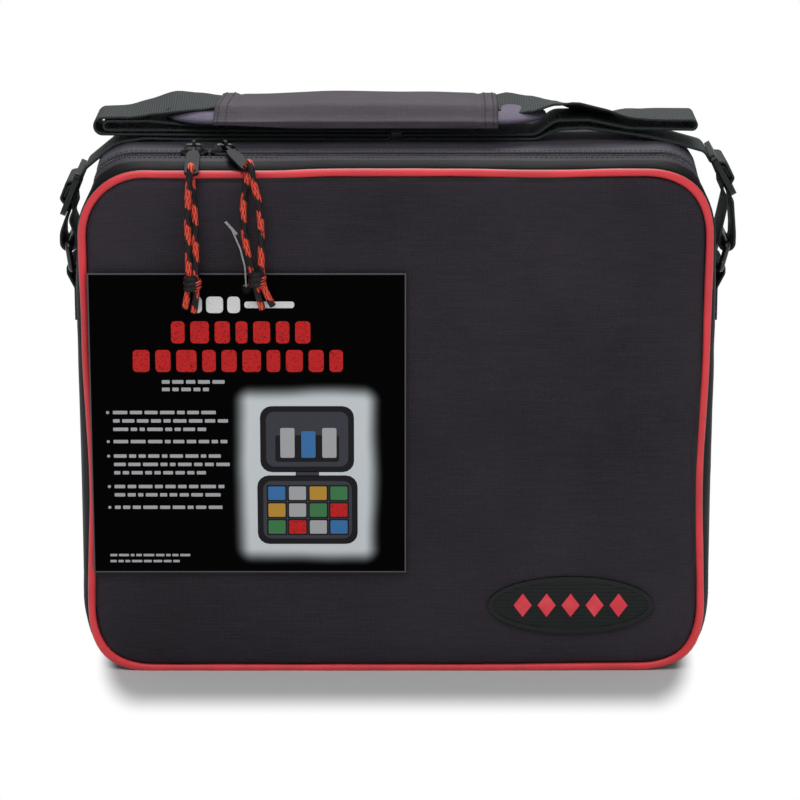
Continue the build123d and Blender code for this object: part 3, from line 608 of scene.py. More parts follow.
def squared(co):
    """How far the corners stand out past true arcs, but for the one at the top left."""
    high = co.z > SEAM_TOP / 2
    right = co.x > 0
    across = abs(co.x) - CORNER_X
    up = co.z - CORNER_Z if high else SEAM_RADIUS - co.z
    if across <= 0 or up <= 0 or (high and not right):
        return Vector((0, 0, 0))
    far = min(hypot(across, up) / SEAM_RADIUS, 1.1) ** 3
    push = (1.9 if high else 3.2) * MM * sin(2 * atan2(up, across)) ** 2 * far
    push *= 1 - smooth_step(-0.005, 0.045, co.y)
    if high:
        push *= ahead_of_zip(co)
    return Vector((1 if right else -1, 0, 1 if high else -1)) * (push / sqrt(2))


def shoulder(co, share=1.0):
    """The soft top corners lean in under the strap's pull, more on the left, and bulge just above."""
    behind = smooth_step(-0.057, -0.044, co.y) * (1 - smooth_step(0.036, 0.056, co.y))
    angle = atan2(co.z - CORNER_Z, abs(co.x) - CORNER_X)
    if angle < -0.7 or abs(co.x) < CORNER_X:
        return Vector((0, 0, 0))
    left = co.x < 0
    lean = (7.6 if left else 4.2) * MM * smooth_step(-0.7, 0.25, angle) * (1 - smooth_step(0.42, 0.86, angle))
    out = (2.4 if left else 2.8) * MM * smooth_step(0.6, 0.95, angle) * (1 - smooth_step(1.12, 1.56, angle))
    inward = Vector((cos(angle) if left else -cos(angle), 0, -sin(angle)))
    return inward * (lean * share - out) * behind


def ruffle(bm, amount, size, seed=0.0, only=None):
    """Moves points along their normals by a smooth, fixed noise."""
    bm.normal_update()
    moves = []
    for vert in bm.verts:
        if only and not only(vert.co):
            continue
        at = vert.co / size + Vector((seed, seed * 1.7, -seed))
        moves.append((vert, vert.normal * noise.noise(at) * amount))
    for vert, move in moves:
        vert.co += move


def settled(co):
    """Where a point of the shell comes to rest."""
    place = co + slump(co) + squared(co) + shoulder(co)
    place.z = max(place.z, 0.0)
    return place


def settle(bm):
    for vert in bm.verts:
        vert.co = settled(vert.co)


# ---- Walls, linings and panels ----
# The walls from front to back, in millimetres: depth, swell past the seam and inset of the turned edge
LID_ROWS = [
    (-57.9, -0.4, 1.6), (-57.4, 0.0, 0.5), (-56.2, 0.7, 0.1), (-54.4, 1.7, 0), (-52.0, 2.7, 0),
    (-49.0, 3.35, 0), (-46.5, 3.6, 0), (-45.2, 3.5, 0.15), (-44.4, 3.65, 0), (-43.2, 3.8, 0), (-42.4, 3.7, 0),
    (-42.0, 3.2, 0), (-42.0, 3.2, 0.8),
]
BASE_ROWS = [
    (-30.0, 3.2, 0.8), (-30.0, 3.2, 0), (-29.6, 3.7, 0), (-28.8, 3.85, 0), (-27.6, 3.75, 0.05),
    (-26.8, 3.7, 0.15), (-25.8, 4.0, 0), (-20.0, 4.4, 0), (-12.0, 4.8, 0), (-4.0, 5.0, 0), (5.0, 5.15, 0),
    (14.0, 5.2, 0), (24.0, 5.0, 0), (34.0, 4.6, 0), (42.0, 4.0, 0), (48.0, 3.2, 0), (52.0, 2.4, 0),
    (55.0, 1.4, 0), (56.6, 0.6, 0.1), (57.5, 0.0, 0.6), (57.9, -0.4, 1.6),
]


# Depth of the lid's inner floor, in millimetres
LID_FLOOR = -57.7


def wall(body, finish, rows, amount, size, seed, front, back):
    """The padded wall of one half of the case, ruffled between two depths."""
    bm = bmesh.new()
    outline_loft(bm, [(y * MM, wall_shape(swell * MM, inset * MM)) for y, swell, inset in rows])
    ruffle(bm, amount, size, seed, lambda co: front < co.y < back)
    settle(bm)
    piece(body + "_wall", bm, body, finish, [body + "_gusset"], WALL_CLOTH)


def lining(body, rows):
    """The cloth inside a half of the case: its walls and its floor."""
    bm = bmesh.new()
    rings = outline_loft(bm, [(y * MM, wall_shape(swell * MM, WALL + LINING)) for y, swell in rows])
    for vert in bm.verts:
        vert.co += shoulder(vert.co, 0.8)
    cap(bm, [rings[-1]])
    face_out(bm, rings[1])
    lay_cloth(bm)
    name = body + "_lining"
    piece(name + "_cloth", bm, body, "lining", [name], LINING, 1)


def panel_point(a, b, shape):
    """Carries a point of a square, -1 to 1 each way, to a rounded rectangle."""
    half, low, high, radius = shape
    half_height = (high - low) / 2
    x = a * half
    z = b * half_height
    over_x = abs(x) - (half - radius)
    over_z = abs(z) - (half_height - radius)
    if over_x > 0 and over_z > 0:
        p = over_x / radius
        q = over_z / radius
        x = (half - radius + radius * p * sqrt(1 - q * q / 2)) * (1 if x > 0 else -1)
        z = (half_height - radius + radius * q * sqrt(1 - p * p / 2)) * (1 if z > 0 else -1)
    return x, z + (low + high) / 2


def edge_distance(x, z, shape):
    """How far inside a rounded rectangle a point lies."""
    half, low, high, radius = shape
    dx = half - abs(x)
    dz = min(high - z, z - low)
    if dx < radius and dz < radius:
        return radius - hypot(radius - dx, radius - dz)
    return min(dx, dz)


def padded_panel(side, body, crown, seed):
    """A quilt-soft panel: a low dome that rolls down into its piping all round."""
    bm = bmesh.new()
    bmesh.ops.create_grid(bm, x_segments=118, y_segments=100, size=1.0)
    shape = (182.3 * MM, 5.2 * MM, 306.8 * MM, 35.4 * MM)
    dome_half, dome_middle, dome_height = 0.21, 0.156, 0.19
    roll_height, roll_reach = 3.1 * MM, 6 * MM
    pucker_size, wave_size = 17 * MM, 75 * MM
    front = side == "front"
    for vert in bm.verts:
        x, z = panel_point(vert.co.x, vert.co.y, shape)
        gap = max(edge_distance(x, z, shape), 0.0)
        roll = roll_height * sqrt(1 - (1 - min(gap / roll_reach, 1.0)) ** 2)
        off_middle = hypot(x / dome_half, (z - dome_middle) / dome_height)
        dome = (crown - 2.9 * MM) * (1 - (off_middle ** 2) * 0.55)
        near = 1 - smooth_step(2 * MM, 26 * MM, gap)
        at = Vector((x, z, seed))
        pucker = noise.noise(at / pucker_size) * 0.28 * MM * near * min(gap / (3 * MM), 1.0)
        wave = noise.noise(at / wave_size) * 0.75 * MM * smooth_step(0.0, 30 * MM, gap)
        depth = PIPING_Y + roll + max(dome, 0) * smooth_step(0, 14 * MM, gap) + pucker + wave
        vert.co = Vector((x, -depth if front else depth, z))
    if front:
        bmesh.ops.reverse_faces(bm, faces=bm.faces)
    bmesh.ops.recalc_face_normals(bm, faces=bm.faces)
    if (bm.faces[0].normal.y < 0) != front:
        bmesh.ops.reverse_faces(bm, faces=bm.faces)
    if front:
        settle(bm)
    lay_cloth(bm)
    name = side + "_panel"
    made = piece(name + "_cloth", bm, body, "panel", [name], 1.4 * MM)
    modifier(made, "SUBSURF", levels=1, render_levels=1)


def piping(side, body, y, colour, steps=16):
    """The piping cord round one seam, lofted across its own round section."""
    bm = bmesh.new()
    rows = []
    for step in range(steps + 1):
        out = PIPING * cos(tau * step / steps)
        half, top, radius = (size - PIPING + out for size in (SEAM_HALF, SEAM_TOP, SEAM_RADIUS))
        shape = (half, 3.0 * MM - out, top, radius)
        rows.append((y + PIPING * sin(tau * step / steps), shape))
    outline_loft(bm, rows, closed=True)
    ruffle(bm, 0.22 * MM, 24 * MM, 9.0)
    if side == "front":
        settle(bm)
    name = side + "_piping"
    piece(name + "_welt", bm, body, colour, [name])


def case_shell():
    wall("lid", "lid_cloth", LID_ROWS, 0.35 * MM, 16 * MM, 2.0, -0.056, -0.045)
    wall("base", "wall", BASE_ROWS, 0.45 * MM, 30 * MM, 5.0, -0.02, 0.052)
    lining("lid", [(-41.0, 3.8), (-50.0, 3.2), (LID_FLOOR, 0.0)])
    lining("base", [(-31.0, 3.8), (-8.0, 4.9), (14.0, 5.2), (36.0, 4.6), (50.0, 3.0), (57.7, 0.0)])
    padded_panel("front", "lid", 5.0 * MM, 3.0)
    padded_panel("rear", "base", 3.8 * MM, 21.0)
    piping("front", "lid", -PIPING_Y, "red_piping")
    piping("rear", "base", PIPING_Y, "black_piping")


# ---- Zip ----
HINGE_HALF = 168.0 * MM
HINGE_TOP = 12.0 * MM
TAPE = 0.9 * MM


def outside_hinge(co, spare=0.0):
    return abs(co.x) > HINGE_HALF + spare or co.z > HINGE_TOP


def walk(points, step, closed=False):
    """Evenly spaced places on a row of points, each with the direction there."""
    row = list(points) + ([points[0]] if closed else [])
    places = []
    left = 0.0
    for first, second in zip(row, row[1:]):
        length = (second - first).length
        if length < 1e-9:
            continue
        direction = (second - first) / length
        while left < length:
            places.append((first + direction * left, direction))
            left += step
        left -= length
    return places


def outline_points(y, shape):
    bm = bmesh.new()
    points = [vert.co + Vector((0, y, 0)) for vert in outline_ring(bm, shape, across=0, up=0)]
    bm.free()
    return points


def scattered(shape, places, most=50):
    """Copies of a small mesh at many places, joined in groups that keep the work short."""
    bm = bmesh.new()
    for start in range(0, len(places), most):
        group = bmesh.new()
        for place in places[start:start + most]:
            copy = shape.copy()
            copy.transform(place)
            group.from_mesh(copy)
            bpy.data.meshes.remove(copy)
        merged = as_mesh(group, "group")
        bm.from_mesh(merged)
        bpy.data.meshes.remove(merged)
    bpy.data.meshes.remove(shape)
    return bm


def zip_band(depths, hinge=False, spare=0.0):
    """A band of the zip's depth round the case, without the hinge's part or that part alone."""
    bm = bmesh.new()
    shape = wall_shape(ZIP_SWELL, 2.2 * MM)
    outline_loft(bm, [(y, shape) for y in depths])
    away = [f for f in bm.faces if outside_hinge(f.calc_center_median(), spare) == hinge]
    bmesh.ops.delete(bm, geom=away, context="FACES")
    settle(bm)
    return bm


def zip_tape(body, y0, y1):
    bm = zip_band([y0 + (y1 - y0) * part for part in (0.0, 0.34, 0.67, 1.0)])
    piece(body + "_tape", bm, body, "tape", [body + "_zip_tape"], TAPE)


def zip_teeth(body, side, shift, pitch=0.75 * MM):
    """One half of the coil: a row of small bars, each with a bulged head over the slit."""
    tooth = bmesh.new()
    made = bmesh.ops.create_cube(tooth, size=1.0)["verts"]
    width, length, thickness = 0.8 * MM, 3.2 * MM, 1.7 * MM
    bmesh.ops.transform(tooth, matrix=Matrix.Diagonal((width, length, thickness, 1)), verts=made)
    for vert in made:
        head = vert.co.y < 0
        vert.co.x *= 1.2 if head else 0.9
        vert.co.z *= 1.0 if head else 0.82
        vert.co.y += 1.35 * MM
    round_off(tooth, tooth.edges[:], 0.22 * MM, 1, "EDGES")
    lay_cloth(tooth)
    height = 1.2 * MM
    swell = ZIP_SWELL - height
    points = outline_points(ZIP_Y, (SEAM_HALF + swell, height, SEAM_TOP + swell, SEAM_RADIUS + swell))
    middle = Vector((0, ZIP_Y, SEAM_TOP / 2))
    across = Vector((0, side, 0))
    places = []
    for number, (place, along) in enumerate(walk(points, pitch, True)):
        if number % 2 != shift or not outside_hinge(place, 1 * MM):
            continue
        out = along.cross(across).normalized()
        if out.dot(place - middle) < 0:
            out = -out
        places.append(frame_at(settled(place), along, across, out))
    bm = scattered(as_mesh(tooth, "tooth"), places)
    bmesh.ops.recalc_face_normals(bm, faces=bm.faces)
    piece(body + "_coil", bm, body, "coil", [body + "_zip_coil"])


def hinge_cloth():
    """The strip that joins lid and base along the bottom."""
    bm = zip_band([(-46.0 + 1.25 * number) * MM for number in range(17)], True, -0.3 * MM)
    made = piece("hinge_cloth", bm, None, "wall", ["hinge_strip"], TAPE)
    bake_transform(made)


def zip_all():
    zip_tape("lid", -46.0 * MM, -36.7 * MM)
    zip_tape("base", -35.3 * MM, -26.0 * MM)
    zip_teeth("lid", -1, 0)
    zip_teeth("base", 1, 1)
    hinge_cloth()


# ---- Rows of stitches ----
def stitches(name, body, rows, pitch=3.0 * MM, thick=0.32 * MM):
    """Short rounded stitches on rows of points, each row open or closed."""
    one = bmesh.new()
    size = Matrix.Diagonal((thick, thick, pitch * 0.36, 1))
    bmesh.ops.create_uvsphere(one, u_segments=6, v_segments=4, radius=1.0, matrix=size)
    lay_cloth(one)
    places = []
    for points, closed in rows:
        for place, along in walk(points, pitch, closed):
            places.append(Matrix.Translation(place) @ along.to_track_quat("Z", "Y").to_matrix().to_4x4())
    piece(name, scattered(as_mesh(one, "stitch"), places), body, "thread")


def wall_row(y, swell):
    shape = (SEAM_HALF + swell * MM, 0.5 * MM, SEAM_TOP + swell * MM, SEAM_RADIUS + swell * MM)
    return [settled(point) for point in outline_points(y * MM, shape)], True


def shell_stitches():
    stitches("lid_topstitch", "lid", [wall_row(-45.2, 3.55)])
    stitches("base_topstitch", "base", [wall_row(-26.8, 3.8)])


# ---- Ribbons, tubes and cords ----
def drawn_line(name, points):
    """The smooth line that a route's points control, read back as points."""
    curve = bpy.data.curves.new(name, "CURVE")
    curve.dimensions = "3D"
    spline = curve.splines.new("NURBS")
    spline.points.add(len(points) - 1)
    for point, place in zip(spline.points, points):
        point.co = (*place, 1.0)
    spline.order_u = 3
    spline.use_endpoint_u = True
    spline.resolution_u = 14
    holder = bpy.data.objects.new(name, curve)
    mesh = bpy.data.meshes.new_from_object(holder)
    line = [vert.co.copy() for vert in mesh.vertices]
    bpy.data.objects.remove(holder)
    bpy.data.meshes.remove(mesh)
    bpy.data.curves.remove(curve)
    tidy = [line[0]]
    for point in line[1:]:
        if (point - tidy[-1]).length > 0.2 * MM:
            tidy.append(point)
    return tidy


def line_length(line):
    return sum((b - a).length for a, b in zip(line, line[1:]))


def tangents(line):
    pairs = zip(line[:1] + line[:-1], line[1:] + line[-1:])
    return [(after - before).normalized() for before, after in pairs]


def carried_frames(line, side):
    """Frames along a line that don't spin: X to the side, Z along."""
    frames = []
    for point, along in zip(line, tangents(line)):
        side = (side - along * side.dot(along)).normalized()
        frames.append(frame_at(point, side, along.cross(side), along))
    return frames


def sweep(bm, ring, frames, turns=False):
    """Carries a ring, drawn at the first frame, through all of them and closes both ends."""
    first = frames[0].inverted()
    rows = loft(bm, ring, [lambda co, move=frame @ first: move @ co for frame in frames])
    if turns:
        map_rows(bm, rows, True)
    cap(bm, (rows[0], rows[-1]))


def round_cord(line, side):
    """A cord's tube along a line, its cloth mapped in turns round it."""
    bm = bmesh.new()
    frames = carried_frames(line, Vector(side))
    ring = bmesh.ops.create_circle(bm, segments=12, radius=CORD / 2)["verts"]
    bmesh.ops.transform(bm, matrix=frames[0], verts=ring)
    sweep(bm, ring, frames, turns=True)
    return bm


def flat_ring(bm, width, thickness, place, cuts=9):
    """A webbing's section: X across its width and Y through it, with rounded edges."""
    face = rounded_face(bm, Matrix.Diagonal((width, thickness, 1, 1)), thickness * 0.42, 3)
    edges = sorted(face.edges, key=lambda e: -e.calc_length())
    bmesh.ops.delete(bm, geom=[face], context="FACES_ONLY")
    bmesh.ops.subdivide_edges(bm, edges=edges[:2], cuts=cuts)
    ring = in_order(edges[-1].verts[0])
    start = min(range(len(ring)), key=lambda n: (round(ring[n].co.y, 6), ring[n].co.x))
    ring = ring[start:] + ring[:start]
    bmesh.ops.transform(bm, matrix=place, verts=ring)
    return ring


def spaced(line, step):
    """The same line with no run longer than a step."""
    row = [line[0]]
    for first, second in zip(line, line[1:]):
        parts = max(1, ceil((second - first).length / step))
        row += [first.lerp(second, n / parts) for n in range(1, parts + 1)]
    return row


def ribbon(name, line, replaces=(), lie=None, width=STRAP_WIDTH):
    """Webbing along a line in the XZ plane, its width along Y, rolled and dropped where lie says."""
    line = spaced(line, 4 * MM)
    frames = []
    for point, along in zip(line, tangents(line)):
        side = Vector((0, 1, 0))
        if lie and along.x > 0:
            roll, drop = lie(point)
            side = Matrix.Rotation(roll, 3, along) @ side
            point = point - Vector((0, 0, drop))
        frames.append(frame_at(point, side, along.cross(side), along))
    bm = bmesh.new()
    sweep(bm, flat_ring(bm, width, STRAP_THICKNESS, frames[0]), frames)
    piece(name, bm, "base", "webbing", replaces)


# The strands of the cord pulls, in metres, each from its tab's hole to the end of its tail
STRANDS = {
    "left_cord_front": [
        (-0.1195, -0.0675, 0.3116), (-0.1195, -0.0682, 0.3152), (-0.1197, -0.0736, 0.3140),
        (-0.1206, -0.0746, 0.3060), (-0.1219, -0.0744, 0.2890), (-0.1217, -0.0740, 0.2660),
        (-0.1216, -0.0739, 0.2470), (-0.1226, -0.0734, 0.2370), (-0.1244, -0.0726, 0.2300),
    ],
    "left_cord_rear": [
        (-0.1195, -0.0676, 0.3104), (-0.1193, -0.0682, 0.3050), (-0.1184, -0.0704, 0.2960),
        (-0.1174, -0.0730, 0.2800), (-0.1173, -0.0740, 0.2620), (-0.1174, -0.0739, 0.2460),
        (-0.1176, -0.0733, 0.2360), (-0.1190, -0.0724, 0.2275),
    ],
    "right_cord_front": [
        (-0.0869, -0.0645, 0.3135), (-0.0864, -0.0657, 0.3170), (-0.0842, -0.0724, 0.3154),
        (-0.0834, -0.0744, 0.3070), (-0.0794, -0.0742, 0.2920), (-0.0786, -0.0742, 0.2700),
        (-0.0792, -0.0739, 0.2490), (-0.0764, -0.0734, 0.2390), (-0.0724, -0.0726, 0.2315),
    ],
    "right_cord_rear": [
        (-0.0869, -0.0646, 0.3120), (-0.0869, -0.0662, 0.3065), (-0.0888, -0.0696, 0.2970),
        (-0.0896, -0.0726, 0.2840), (-0.0876, -0.0742, 0.2660), (-0.0836, -0.0739, 0.2500),
        (-0.0814, -0.0734, 0.2390), (-0.0786, -0.0726, 0.2295),
    ],
}
KNOTS = {"left": (-0.1195, -0.0739, 0.2450), "right": (-0.0814, -0.0739, 0.2476)}


def knot(side, turns=3.0, radius=3.1, height=8.2, steps=60):
    """Turns of cord wound round both strands, its ends tucked in."""
    middle = Vector(KNOTS[side])
    line = []
    for n in range(steps + 1):
        part = n / steps
        angle = tau * turns * part
        reach = radius * MM * min(1.0, 0.35 + 4 * part, 0.35 + 4 * (1 - part))
        rise = (part - 0.5) * height * MM
        line.append(middle + Vector((reach * 1.12 * cos(angle), reach * sin(angle), rise)))
    bm = round_cord(line, (0, 0, 1))
    return piece("knot_" + side, bm, "pull_" + side, "cord", ["pull_knot_" + side])


def cord_pulls():
    for side in ("left", "right"):
        tied = knot(side)
        for place in ("front", "rear"):
            name = f"{side}_cord_{place}"
            line = drawn_line(name + "_line", STRANDS[name])
            bm = round_cord(line, (1, 0, 0))
            made = piece(name + "_braid", bm, "pull_" + side, "cord", [name])
            line_length(line)
            [tuple(p) for p in line]


# ---- Shoulder strap ----
RING_UPPER = {"left": (198.4, 254.0), "right": (200.5, 254.0)}
RING_LOWER = (196.3, 238.0)
RING_LOOP = 4.6
BUCKLE = {"left": (196.3, 284.6), "right": (197.0, 296.5)}
BUCKLE_TILT = {"left": radians(22.0), "right": radians(30.0)}


def side_route(side):
    """One end of the strap in millimetres, X away from the middle: round the buckle's bar, round the
    ring and up through the buckle. Each corner has its X, its height and its bend's radius."""
    tilt = BUCKLE_TILT[side]
    middle_x, middle_z = BUCKLE[side]
    ring_x, ring_z = RING_UPPER[side]

    def by(along, out, radius):
        x = middle_x - along * sin(tilt) + out * cos(tilt)
        return x, middle_z + along * cos(tilt) + out * sin(tilt), radius

    return [
        by(-3.8, 2.75, 0), by(4.2, 2.75, 2), by(4.2, -2.75, 2), by(-4.6, -2.75, 3), by(-9.6, -5.2, 3),
        by(-16.0, -5.2, 5), (ring_x - RING_LOOP, ring_z + 3.5, 4),
        (ring_x - RING_LOOP, ring_z - RING_LOOP, 4.55), (ring_x + RING_LOOP, ring_z - RING_LOOP, 4.55),
        (ring_x + RING_LOOP, ring_z + 6.0, 16),
        by(-17.5, -2.75, 5), by(-10.2, -2.75, 2), by(-5.4, 4.55, 2), by(5.4, 4.55, 2), by(10.2, -2.75, 2),
        by(17.5, -2.75, 6), (168.5, 315.2, 16),
    ]


# The folded webbing on top, in millimetres: X, height over the case's top and the bend's radius
TOP_ROUTE = [
    (-151.5, 1.6, 30), (-130.5, 1.1, 60), (-3.7, 1.1, 1.24), (-3.7, 3.6, 1.24), (-120.5, 3.7, 60),
    (-181.2, 4.2, 4.8), (-181.2, 13.9, 4.8), (-160.5, 14.6, 30), (-133.5, 20.6, 30), (98, 20.6, 30),
    (126.5, 14.2, 30), (148.5, 12.8, 30), (180.6, 12.6, 2.7), (180.6, 7.0, 2.7), (140.5, 7.6, 30),
    (116, 12.6, 14), (96, 12.4, 10), (84, 3.8, 10), (3.7, 3.6, 1.24), (3.7, 1.1, 1.24), (84, 1.1, 10),
    (98, 7.2, 14), (114, 8.0, 20), (140.5, 4.4, 30), (152, 2.4, 30),
]

# The short spare loop tucked in the left fold, as the route on top
INNER_LOOP = [
    (30, 9.8, 0), (-128, 9.8, 30), (-148, 11.9, 20), (-175.5, 11.9, 2.6), (-175.5, 6.4, 2.6), (30, 5.9, 0),
]

# How the top layer lies from left to right: X, its roll in degrees and its drop, in millimetres
TOP_LIE = [
    (-168, 0, 0), (-150, 4, 0), (-134, 9, 0), (-119, 5, 0), (-106, 0, 0), (59, 0, 0), (67, 11, 1.6),
    (80, 4, 1.4), (97, -8, 0.7), (109, -15, 0), (124, -14, 0), (143, -2, 0), (160, 0, 0),
]


def rounded_route(corners):
    """Straight runs joined by arcs, as points in the XZ plane, in metres."""
    line = [Vector(corners[0][:2])]
    for before, corner, after in zip(corners, corners[1:], corners[2:]):
        place = Vector(corner[:2])
        back = (Vector(before[:2]) - place).normalized()
        on = (Vector(after[:2]) - place).normalized()
        inside = back.angle(on)
        reach = corner[2] / tan(inside / 2)
        middle = place + (back + on).normalized() * (corner[2] / sin(inside / 2))
        start = place + back * reach - middle
        end = place + on * reach - middle
        steps = max(2, ceil((pi - inside) / radians(10)))
        for n in range(steps + 1):
            line.append(middle + start.lerp(end, n / steps).normalized() * corner[2])
    line.append(Vector(corners[-1][:2]))
    return [Vector((p.x * MM, STRAP_Y, p.y * MM)) for p in line]


def top_lie(point):
    """The roll, in radians, and the drop of the strap's top layer at a point; nothing elsewhere."""
    if point.z < WALL_TOP + 11.5 * MM:
        return 0.0, 0.0
    x = point.x / MM
    for (x0, roll0, drop0), (x1, roll1, drop1) in zip(TOP_LIE, TOP_LIE[1:]):
        if x0 <= x <= x1:
            part = smooth_step(x0, x1, x)
            return radians(roll0 + (roll1 - roll0) * part), (drop0 + (drop1 - drop0) * part) * MM
    return 0.0, 0.0


def on_top(corners):
    """A route whose heights are over the case's top, as one with heights over the floor."""
    return [(x, height + WALL_TOP / MM, radius) for x, height, radius in corners]


def strap_line():
    left = [(-x, z, radius) for x, z, radius in side_route("left")]
    return rounded_route(left + on_top(TOP_ROUTE) + side_route("right")[::-1])


def anchor_line():
    inner = SEAM_HALF / MM + 5.3 + 0.8
    outer = inner + 1.9
    x, z = RING_LOWER
    reach = 3.1
    return rounded_route([(inner, 206, 0), (x - reach, z + reach, 3.0), (x + reach, z + reach, 3.0),
                          (x + reach, z - 3, 4), (outer, z - 12, 4), (outer, 206, 0)])


def mirrored(line):
    return [Vector((-p.x, p.y, p.z)) for p in line]


def long_oval(bm, low, high, half, taper, steps=88):
    """A flat ring with half-oval ends: a circle whose halves are pulled apart, straight between."""
    made = bmesh.ops.create_circle(bm, segments=steps, radius=1.0)["verts"]
    straight = (high - low) / 2 - taper
    for vert in made:
        flat = smooth_step(0.0, 0.3, abs(vert.co.x))
        side = 1 if vert.co.x > 0 else -1
        vert.co.x = vert.co.x * taper + side * straight * flat
        vert.co.y *= half
    return made


def shoulder_pad():
    """The foam pad that shows at both ends of its sleeve: full below, and thin at its sewn edge."""
    bm = bmesh.new()
    low, high, half, taper = -139 * MM, 91 * MM, 30 * MM, 36 * MM
    middle = Vector(((low + high) / 2, STRAP_Y, 0))
    ring = long_oval(bm, low, high, half, taper)
    rows = [(0.0, 20.0), (0.0, 9.0), (0.1, 4.4), (0.5, 1.6), (1.3, 0.3), (2.4, 0.0), (3.3, 0.4), (4.2, 1.6),
            (5.3, 3.6), (6.5, 6.2), (7.5, 9.6), (8.1, 14.0), (8.3, 20.0)]

    def place(co, height, inset):
        size = Vector((1 - inset / (high - low) * 2, 1 - inset / half, 1))
        return middle + Vector((co.x * size.x, co.y * size.y, PAD_BOTTOM + height))

    rings = loft(bm, ring, [lambda co, h=h * MM, i=i * MM: place(co, h, i) for h, i in rows])
    cap(bm, (rings[0], rings[-1]))
    made = piece("shoulder_pad", bm, "base", "pad", ["strap_pad"])


def strap_sleeve():
    """The nylon sleeve over the pad: a flat top that slopes to both sides, and a turned hem at each end."""
    bm = bmesh.new()
    low, high = -107.0, 61.0
    half, height, side_height = 32 * MM, 12.8 * MM, 4.8 * MM
    hem = [(0, -0.5), (0.5, 0.1), (1.6, 0.3), (8.4, 0.3), (9.4, -0.1), (11, -0.4)]
    inner = 28
    stations = [(low + x, swell) for x, swell in hem]
    stations += [(low + 14 + (high - low - 28) * n / inner, 0.0) for n in range(inner + 1)]
    stations += [(high - x, swell) for x, swell in reversed(hem)]
    ring = outline_ring(bm, (half, 0.0, height, 2.0 * MM), 4, 28, 5)

    def place(co, x, swell):
        crown = 1 - (1 - side_height / height) * smooth_step(0.56, 1.02, abs(co.x) / half)
        rise = 2.2 * MM * (1 - smooth_step(-107, -50, x / MM)) * (1 - co.z / height)
        full = 1.0 + 0.09 * smooth_step(-107, -30, x / MM) * (1 - smooth_step(10, 61, x / MM))
        up = SLEEVE_BOTTOM + rise + co.z * crown * full * (1 + swell / height)
        return Vector((x + 2.4 * MM * co.x / half * (x < 0), STRAP_Y + co.x * (1 + swell / half), up))

    def soft(co):
        return low * MM + 0.012 < co.x < high * MM - 0.012 and co.z > 0.328

    loft(bm, ring, [lambda co, x=x * MM, s=s * MM: place(co, x, s) for x, s in stations])
    ruffle(bm, 0.9 * MM, 30 * MM, 12.0, soft)
    rows = []
    for x in (low + 2.6, low + 7.6, high - 7.6, high - 2.6):
        up = [Vector((-half, 0, h * MM)) for h in (2, 4, 6, 8, 10)]
        over = [Vector((y * MM, 0, height)) for y in range(-31, 32, 2)]
        rows.append(([place(co, x * MM, 0.5 * MM) for co in up + over], False))
    stitches("sleeve_hem_stitches", "base", rows, pitch=2.6 * MM)
    piece("shoulder_sleeve", bm, "base", "sleeve", ["strap_sleeve"], 0.9 * MM)


def sway(line):
    """Shifts the layers of the webbing a little from front to back, so that they don't lie quite true."""
    along = 0.0
    swayed = [line[0]]
    for before, point in zip(line, line[1:]):
        along += (point - before).length
        ends = smooth_step(0.0, 0.16, along)
        swayed.append(point + Vector((0, noise.noise(Vector((along / 0.11, 3.0, 0))) * 1.5 * MM * ends, 0)))
    return swayed


def bartack(line, place, side, turns=9):
    """A zigzag of thread across the webbing beside a point of its line."""
    near = min(range(len(line) - 1), key=lambda n: (line[n] - place).length)
    along = (line[near + 1] - line[near]).normalized()
    out = along.cross(Vector((0, 1, 0))) * side
    rows = []
    for n in range(turns + 1):
        y = (n / turns - 0.5) * 30 * MM
        shift = along * (1.7 * MM * (1 if n % 2 else -1))
        rows.append(line[near] + shift + out * 0.95 * MM + Vector((0, y, 0)))
    return rows, False


def strap_stitches(line, anchor):
    """Bartacks where the webbing doubles back, and a box of stitches on both anchors."""
    tacks = [bartack(line, Vector((x * MM, STRAP_Y, WALL_TOP + h * MM)), side) for x, h, side in (
        (-150, 15.6, -1), (-146, 15.6, -1), (146, 13.2, -1), (150, 13.0, -1))]
    stitches("strap_bartacks", "base", tacks, pitch=1.3 * MM, thick=0.3 * MM)
    for side in (1, -1):
        out = side * (anchor[-1].x + 0.9 * MM)
        box = ((-15, 209), (15, 209), (15, 226), (-15, 226))
        corners = [Vector((out, STRAP_Y + y * MM, z * MM)) for y, z in box]
        cross = [([corners[0], corners[2]], False), ([corners[1], corners[3]], False)]
        name = "right" if side > 0 else "left"
        stitches(f"anchor_stitches_{name}", "base", [(corners, True)] + cross, pitch=2.4 * MM)


def shoulder_strap():
    ribbon("shoulder_webbing", sway(spaced(strap_line(), 4 * MM)), ["strap_webbing"], top_lie)
    ribbon("inner_loop_webbing", rounded_route(on_top(INNER_LOOP)), width=36.5 * MM)
    anchor = anchor_line()
    ribbon("anchor_webbing_right", anchor, ["strap_anchor_right"])
    ribbon("anchor_webbing_left", mirrored(anchor), ["strap_anchor_left"])
    strap_stitches(strap_line(), anchor)
    shoulder_pad()
    strap_sleeve()


